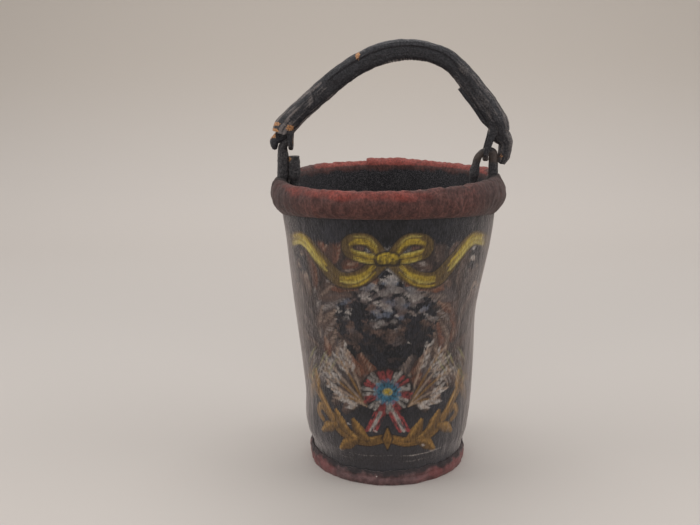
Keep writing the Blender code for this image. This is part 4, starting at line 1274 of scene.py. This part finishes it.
def stub_torn(x, y, z):
    return 1.2 * hump(x, -0.0970, 0.0024) * hump(z, 0.3112, 0.0026) * (y < 0.001)


drop = BEND * (1 - math.sqrt(0.5))
left = [(-SEAT, RIM_SHOULDER), (LEFT_LEG, RIM_TOP)]
left += [(LEFT_LEG, LEFT_PIVOT[1] - 2 * BEND), (LEFT_LEG, LEFT_PIVOT[1] - BEND)]
left += [(LEFT_LEG + drop, LEFT_PIVOT[1] - drop), (LEFT_LEG + BEND, LEFT_PIVOT[1]), (TORN_X, LEFT_PIVOT[1])]
left_rub, left_torn = (lambda x, y, z: 0.25 + 0 * z), (lambda x, y, z: 0.6 * ease(x, -0.0945, -0.0925))
thong("loop_left", left, BAR, left_swell, left_rub, left_torn, "lug_loop_left")

stub = [(-tail_x(TAIL_LOW, STUB), TAIL_LOW), (-tail_x(TAIL_HIGH, STUB), TAIL_HIGH)]
stub += [(STUB_X, RIM_SHOULDER), (STUB_X, RIM_TOP), (STUB_X, STUB_TOP)]
stub_rub = lambda x, y, z: 0.3 * ease(z, 0.303, 0.310)
thong("stub_left", stub, STUB, stub_swell, stub_rub, stub_torn, "lug_stub_left")

# %% [markdown]
# ## Bail: finish
# The bail is black strap hide, polished by hands, grey where its edges are scuffed and where painted highlights lie
# on its ridges, crease and streaks, darker where painted shade lies in the crown's recessed front, and raw tan where
# it has split.
# The wall's finish could be used again. The strap gets its own, because its hide is smoother, has no grain along one
# axis and shines more.

# %% Bail: finish
strap = Finish("black_strap_hide")
fibre = strap.noise(0.0016, detail=5, rough=0.62)
pores = strap.noise(0.0007, detail=2)
patch = strap.noise(0.014, detail=4)
folds = strap.noise(0.0055, detail=3)
# Grey where the mark is high: scuffs and painted highlights together.
scuff_and_painted_light = strap.stir(strap.stir(strap.mark("wear_and_painted_light"), fibre, 0.8), patch, 0.8)
coat = strap.two_tone(fibre, 0.36, 0.76, (23, 22, 27), (60, 58, 63))
coat = strap.layer(coat, scuff_and_painted_light, (0.22, 0.90, 1), (122, 113, 110))
raw = strap.stir(strap.mark("torn"), fibre, 1.5)
tan = strap.two_tone(fibre, 0.35, 0.65, (136, 90, 56), (206, 150, 100))
coat = strap.mix(strap.ramp(raw, 0.40, 0.66), coat, tan)
rise = strap.over(strap.over(fibre, pores, 0.3), folds, 1.6)
strap_look = strap.done(coat, strap.ramp(fibre, 0.3, 0.7, 0.52, 0.30), rise, 0.0008, 0.45, 0.08)


def strap_piece(name, rings, wear_and_painted_light, torn, slot, node):
    """Skin the rings, keep their worn-and-painted-light and torn shares and set the piece in the bail."""
    piece = skin(name, rings)
    mark(piece, "wear_and_painted_light", wear_and_painted_light + 0 * rings[..., 0])
    mark(piece, "torn", torn + 0 * rings[..., 0])
    return stand_for(piece, "handle", slot, strap_look, node)


# %% [markdown]
# ## Bail: centre line
# The bail's pieces all follow one bent line, from the lobe at its left end over the crown to the fold at its right.
# Each could have a curve of its own. One shared line is kept, with each place on it given as a share of its length,
# because cover, core and lap then stay in line however the bail is bent.

# %% Bail: centre line
LEFT_LOBE = [(-0.1112, 0.3208), (-0.1108, 0.3290)]
LEFT_END = [(-0.1032, 0.3352), (-0.0994, 0.3440)]
CROWN = [(-0.0780, 0.3642), (-0.0307, 0.4012), (0.0151, 0.4158), (0.0574, 0.4063), (0.0882, 0.3731)]
RIGHT_END = [(0.1063, 0.3466), (0.1094, 0.3355), (0.1150, 0.3275)]
RIGHT_END += [(0.1155, 0.3205), (0.1139, 0.3130), (0.1112, 0.3062)]
BAIL_STEPS = 421

bail_line = route(LEFT_LOBE + LEFT_END + CROWN + RIGHT_END, BAIL_STEPS)
bail_share = np.linspace(0, 1, BAIL_STEPS)


def share_at(x, z):
    """Share of the bail's centre line nearest to a place."""
    return float(bail_share[np.hypot(bail_line[:, 0] - x, bail_line[:, 1] - z).argmin()])


def along(first, last, count):
    """Part of the bail's centre line, with each point's share of the whole."""
    share = np.linspace(first, last, count)
    return places_at(share, bail_share, bail_line), share[:, None]


print("bail line", round(1000 * float(travel(bail_line)[-1]), 1), "mm long")

# %% [markdown]
# ## Bail: folds of the cover
# A strap of hide is folded round the core. A crease crosses the left leg, the fold's edge shows along the crown, and
# the crown's inner edge is puckered. Sculpting would give these too. They are set as swells over each ring's outline,
# with u across and v front to back, because a swell can be slid along the bail without spoiling its neighbours.

# %% Bail: folds of the cover
COVER_START, COVER_STOP = share_at(*LEFT_END[0]), 1
CREASE = share_at(-0.0725, 0.3700)
CROWN_START, CROWN_STOP = share_at(-0.0640, 0.3780), share_at(0.0720, 0.3940)
PUCKERS = 104

line, share = along(COVER_START, COVER_STOP, 300)
across, deep = oval(88, 0.8)
u, v = across[None, :], deep[None, :]
x, z = line[:, :1], line[:, 1:]
crease = CREASE + 0.022 * u
layer = 1 - ease(share, crease - 0.004, crease + 0.002)
crown = ease(share, CROWN_START, CROWN_START + 0.05) * (1 - ease(share, CROWN_STOP - 0.05, CROWN_STOP))
front_face = ease(-v, 0, 0.3)
lip_at = 0.34 - 0.55 * ease(share, share_at(0.045, 0.409), share_at(0.080, 0.383))
lip_run = front_face * ease(share, CROWN_START, CROWN_START + 0.06) * (1 - ease(share, 0.88, 0.93))
lip = ease(u, lip_at, lip_at + 0.10) * lip_run
lip_line = hump(u, lip_at - 0.05, 0.09) * lip_run
pucker = hump(share, share_at(0.0200, 0.4165), 0.09) * ease(-u, 0.35, 0.95)
drift = 0.9 * lumps(np.stack([share * 3, share * 0, share * 0], -1), 0.05, 51)
tick = np.sin(2 * math.pi * (share * PUCKERS + drift))
pinch = pucker * np.maximum(tick, 0)
print("crease at", round(CREASE, 3), "of the bail, crown from", round(CROWN_START, 3), "to", round(CROWN_STOP, 3))

# %% [markdown]
# ## Bail: cover
# The roll is broad over the crown, thicker down both legs and thin where the right end is folded in; the left end is
# cut off ragged. A tapered bevel has one profile for all of it. Width and thickness are set ring by ring, because the
# two change at different heights.

# %% Bail: cover
HALF_DEPTH = 0.0055
STRAP_WIDE = 0.0102
LEFT_CUT = 0.3366
RIGHT_HEIGHTS = (0.3058, 0.3135, 0.3205, 0.3275, 0.3355, 0.3450, 0.3734)
RIGHT_WIDE = (0.0038, 0.0062, 0.0068, 0.0070, 0.0102, 0.0108, 0.0102)
RIGHT_DEEP = (0.0040, 0.0052, 0.0056, 0.0062, 0.0084, 0.0098, 0.0070)

left_end = 1 - ease(share, COVER_START, COVER_START + 0.10)
right_leg = ease(x, 0.084, 0.092)
wide = STRAP_WIDE + 0.0005 * left_end - 0.0009 * hump(x, 0.052, 0.024) + 0 * u
wide = wide + right_leg * (np.interp(z, RIGHT_HEIGHTS, RIGHT_WIDE) - wide) - 0.0005 * pinch
thick = HALF_DEPTH + 0.0043 * (1 - ease(z, 0.352, 0.385))
thick = thick + right_leg * (np.interp(z, RIGHT_HEIGHTS, RIGHT_DEEP) - thick)
thick = thick + 0.0007 * layer + 0.0009 * lip - 0.0005 * lip_line
thick = thick - 0.0007 * pinch - 0.0011 * hump(share, crease, 0.0035)
rings = tube(line, wide * u, thick * v)
out = rings - rings.mean(1, keepdims=True)
out /= np.linalg.norm(out, axis=-1, keepdims=True)
rings = rings + out * (0.0006 * lumps(rings, 0.012, 52) + 0.0003 * lumps(rings, 0.0035, 53))[..., None]
streak = lumps(np.stack([share * 9 + 0 * u, u * 4.4 + 0 * share, v * 4.4 + 0 * share], -1), 0.45, 56)
rings = rings + out * (0.00030 * streak)[..., None]
frayed = LEFT_CUT + 0.0008 * lumps(rings, 0.0040, 54)
rings[..., 2] = np.where(rings[..., 0] < -0.080, np.maximum(rings[..., 2], frayed), rings[..., 2])
tongue = hump(rings[..., 0], -0.1010, 0.0048) * (1 - ease(rings[..., 2], 0.3435, 0.3475)) * front_face
rings[..., 1] -= 0.0016 * tongue
print("cover of", len(rings), "rings")

# %% [markdown]
# ## Bail: wear of the cover
# Edges, the crease and fine streaks are lightened grey, partly scuffing and partly painted highlight where they
# catch the light, and the crown's recessed front is kept dark as painted shade; the legs are kept lighter than the
# crown. The left end has split open to raw tan fibre, and one nick shows on the crown. A worn look could come from
# the shape's own sharp edges. It is placed one by one here, because hands and the loops wear the strap in a few
# known places, and a strap that is worn alike all over looks like plastic.

# %% Bail: wear of the cover
SPLITS = ((-0.1085, 0.3462, 0.0050, 0.0018), (-0.1105, 0.3398, 0.0056, 0.0021), (-0.0962, 0.3425, 0.0058, 0.0036))
NICK = (-0.0286, 0.4110, 0.0022, 0.0040)
RIGHT_CHAFE = (0.1110, 0.3135, 0.0030, 0.0030)


def torn_at(middle_x, middle_z, spread_x, spread_z):
    """A raw patch at a place, fading over its spreads."""
    return hump(rings[..., 0], middle_x, spread_x) * hump(rings[..., 2], middle_z, spread_z)


# Painted highlights on edges, crease, streaks and puckers, and painted shade on the crown's recessed front, share this
# mark with the scuffing.
edge_wear_and_painted_light = 0.16 * hump(u, 0.80, 0.32) + 0.30 * hump(u, -0.95, 0.15)
edge_wear_and_painted_light = edge_wear_and_painted_light + 0.34 * hump(share, crease - 0.010, 0.010) * hump(u, 0.10, 0.50)
edge_wear_and_painted_light = edge_wear_and_painted_light + (0.34 + 0.30 * ease(-x, 0.055, 0.080)) * streak
edge_wear_and_painted_light = edge_wear_and_painted_light + 0.55 * pucker * (tick > 0.3) - 0.35 * crown * hump(u, -0.15, 0.4) * front_face
edge_wear_and_painted_light = edge_wear_and_painted_light + 0.15 * tongue + 0.16 * layer * hump(u, 0.1, 0.35) + 0.27 * (1 - crown)
torn = sum(torn_at(*split) for split in SPLITS) + torn_at(*NICK) + 0.5 * torn_at(*RIGHT_CHAFE)
torn = 1.2 * torn * front_face * (1 - 0.8 * tongue)
caps = ((len(CAP_SHARES), len(CAP_SHARES)), (0, 0))
edge_wear_and_painted_light = np.pad(np.clip(edge_wear_and_painted_light, -0.4, 1), caps, "edge")
torn = np.pad(np.clip(torn, 0, 1), caps, "edge")
rings = close_ends(rings, 0.0008, 0.0009, 55)
strap_piece("bail_cover", rings, edge_wear_and_painted_light, torn, "black_leather", "handle_cover")

# %% [markdown]
# ## Bail: core
# The core strap runs inside the cover and shows at the left end as a small lobe beside the loop. Only that lobe could
# be made. The whole strap is, because it is one piece on the real bail, and it fills the cover where its ends are
# torn open.

# %% Bail: core
CORE_HEIGHT, CORE_DEPTH = 0.0060, 0.0030
LOBE_DEPTH, LOBE_WIDTH = 0.0050, 0.0031
CORE_STOP = 0.97
TIP_RUN, TIP_SHARE = 0.010, 0.72

line, share = along(0, CORE_STOP, 240)
across, deep = oval(32, 0.8)
at_left = ease(np.clip(1 - share / COVER_START, 0, 1), 0, 0.5)
at_right = ease(share, 0.86, 0.93)
wide = CORE_HEIGHT + (LOBE_WIDTH - CORE_HEIGHT) * at_left - 0.5 * CORE_HEIGHT * at_right
wide = wide + 0.0019 * hump(share, 0.55 * COVER_START, 0.28 * COVER_START)
thick = CORE_DEPTH + (LOBE_DEPTH - CORE_DEPTH) * at_left
tip = np.minimum(1, TIP_SHARE + (1 - TIP_SHARE) * np.minimum(share, 1 - share) / TIP_RUN)
rings = uneven(tube(line, wide * tip * across, thick * tip * deep), 0.07, 0.006, 0.06, 61, at_left > 0)
rings = close_ends(rings, 0.0010, 0.0008, 63)
left_split = torn_at(-0.1135, 0.3345, 0.0045, 0.0035) * (rings[..., 1] < 0.002)
strap_piece("bail_core", rings, 0.15, np.clip(left_split, 0, 1), "raw_leather", "handle_core")

# %% [markdown]
# ## Bail: lap
# On the right leg the strap is folded back on itself, and its end leaves a square step on the inner side. A step cut
# into the cover would do for a picture. It is a strip of its own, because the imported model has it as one, and its
# thin end can sink into the cover as a skived edge does.

# %% Bail: lap
LAP_START, LAP_STOP = share_at(0.0790, 0.3862), share_at(0.1085, 0.3400)
LAP_THICK, LAP_DEPTH = 0.0046, 0.0046
LAP_SINK = 0.0018
SKIVE_START, SKIVE_SHARE = 0.68, 0.75

line, share = along(LAP_START, LAP_STOP, 72)
across, deep = oval(28, 0.55)
run = heading(line)
skived = ease(share, LAP_START + SKIVE_START * (LAP_STOP - LAP_START), LAP_STOP)
thin = LAP_THICK * (1 - SKIVE_SHARE * skived)
under = STRAP_WIDE - LAP_SINK + thin / 2
middle = line - np.stack([-run[:, 1], run[:, 0]], 1) * under
rings = uneven(tube(middle, thin / 2 * across, LAP_DEPTH * deep + 0 * share), 0.05, 0.006, 0.03, 64)
rings = close_ends(rings, 0.0002, 0.0006, 66)
strap_piece("bail_lap", rings, 0.25, 0, "black_leather", "handle_lap")

# %% [markdown]
# ## Bail: eyes
# Two narrow straps fold under the loops' tops and run up into the bail's ends, one leg on each face. Metal rings
# would be simpler, but the bail hangs in leather. Each strap is swept half a turn round the hinge and straight up on
# both sides, because a fold that is round about the hinge turns on its loop without touching it.

# %% Bail: eyes
EYE_THICK = 0.0016
EYE_TOP_WIDE = 0.0044
LEG_RINGS, FOLD_RINGS = 22, 25


def eye(name, pivot, rise_to, narrow, seed, node):
    """Narrow strap folded under a loop's top, a leg up each face of the bail."""
    middle = HALF_DEPTH + FIT + EYE_THICK
    pivot, rise_to = np.array(pivot), np.array(rise_to)
    half, whole = math.pi, 2 * math.pi
    leg = np.linspace(0.05, 1, LEG_RINGS)
    t = np.concatenate([leg[::-1], np.zeros(FOLD_RINGS), leg])
    turn = [np.full(LEG_RINGS, half), np.linspace(half, whole, FOLD_RINGS), np.full(LEG_RINGS, whole)]
    turn, t = np.concatenate(turn)[:, None], t[:, None]
    centre = pivot + (rise_to - pivot) * t
    wide = narrow + (EYE_TOP_WIDE - narrow) * t
    across, deep = oval(20, 0.6)
    reach = middle + EYE_THICK * deep[None, :] * (1 - 0.25 * ease(t, 0.6, 1))
    x = centre[:, :1] + wide * across
    rings = np.stack([x, reach * np.cos(turn), centre[:, 1:] + reach * np.sin(turn)], -1)
    rings = close_ends(uneven(rings, 0.07, 0.005, 0.04, seed), 0.0003, 0.0006, seed + 2)
    wear_and_painted_light = 0.2 + 0.3 * hump(rings[..., 2], pivot[1] - 0.006, 0.004)
    return strap_piece(name, rings, wear_and_painted_light, 0, "black_leather", node)


eye("bail_eye_left", LEFT_PIVOT, (-0.0958, 0.3500), 0.0021, 71, "handle_eye_left")
eye("bail_eye_right", (0.0961, 0.3170), (0.1045, 0.3430), 0.0026, 74, "handle_eye_right")

# %% [markdown]
# ## Size and finish
# A dressed bucket can grow past the imported one without anyone noticing. The eye is a poor judge of that, so the
# dressed bucket's box is printed, where a ruler would otherwise be laid along the picture.

# %% Size and finish
low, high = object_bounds()
print("visual box", [round(1000 * v, 1) for v in (*low, *high)])
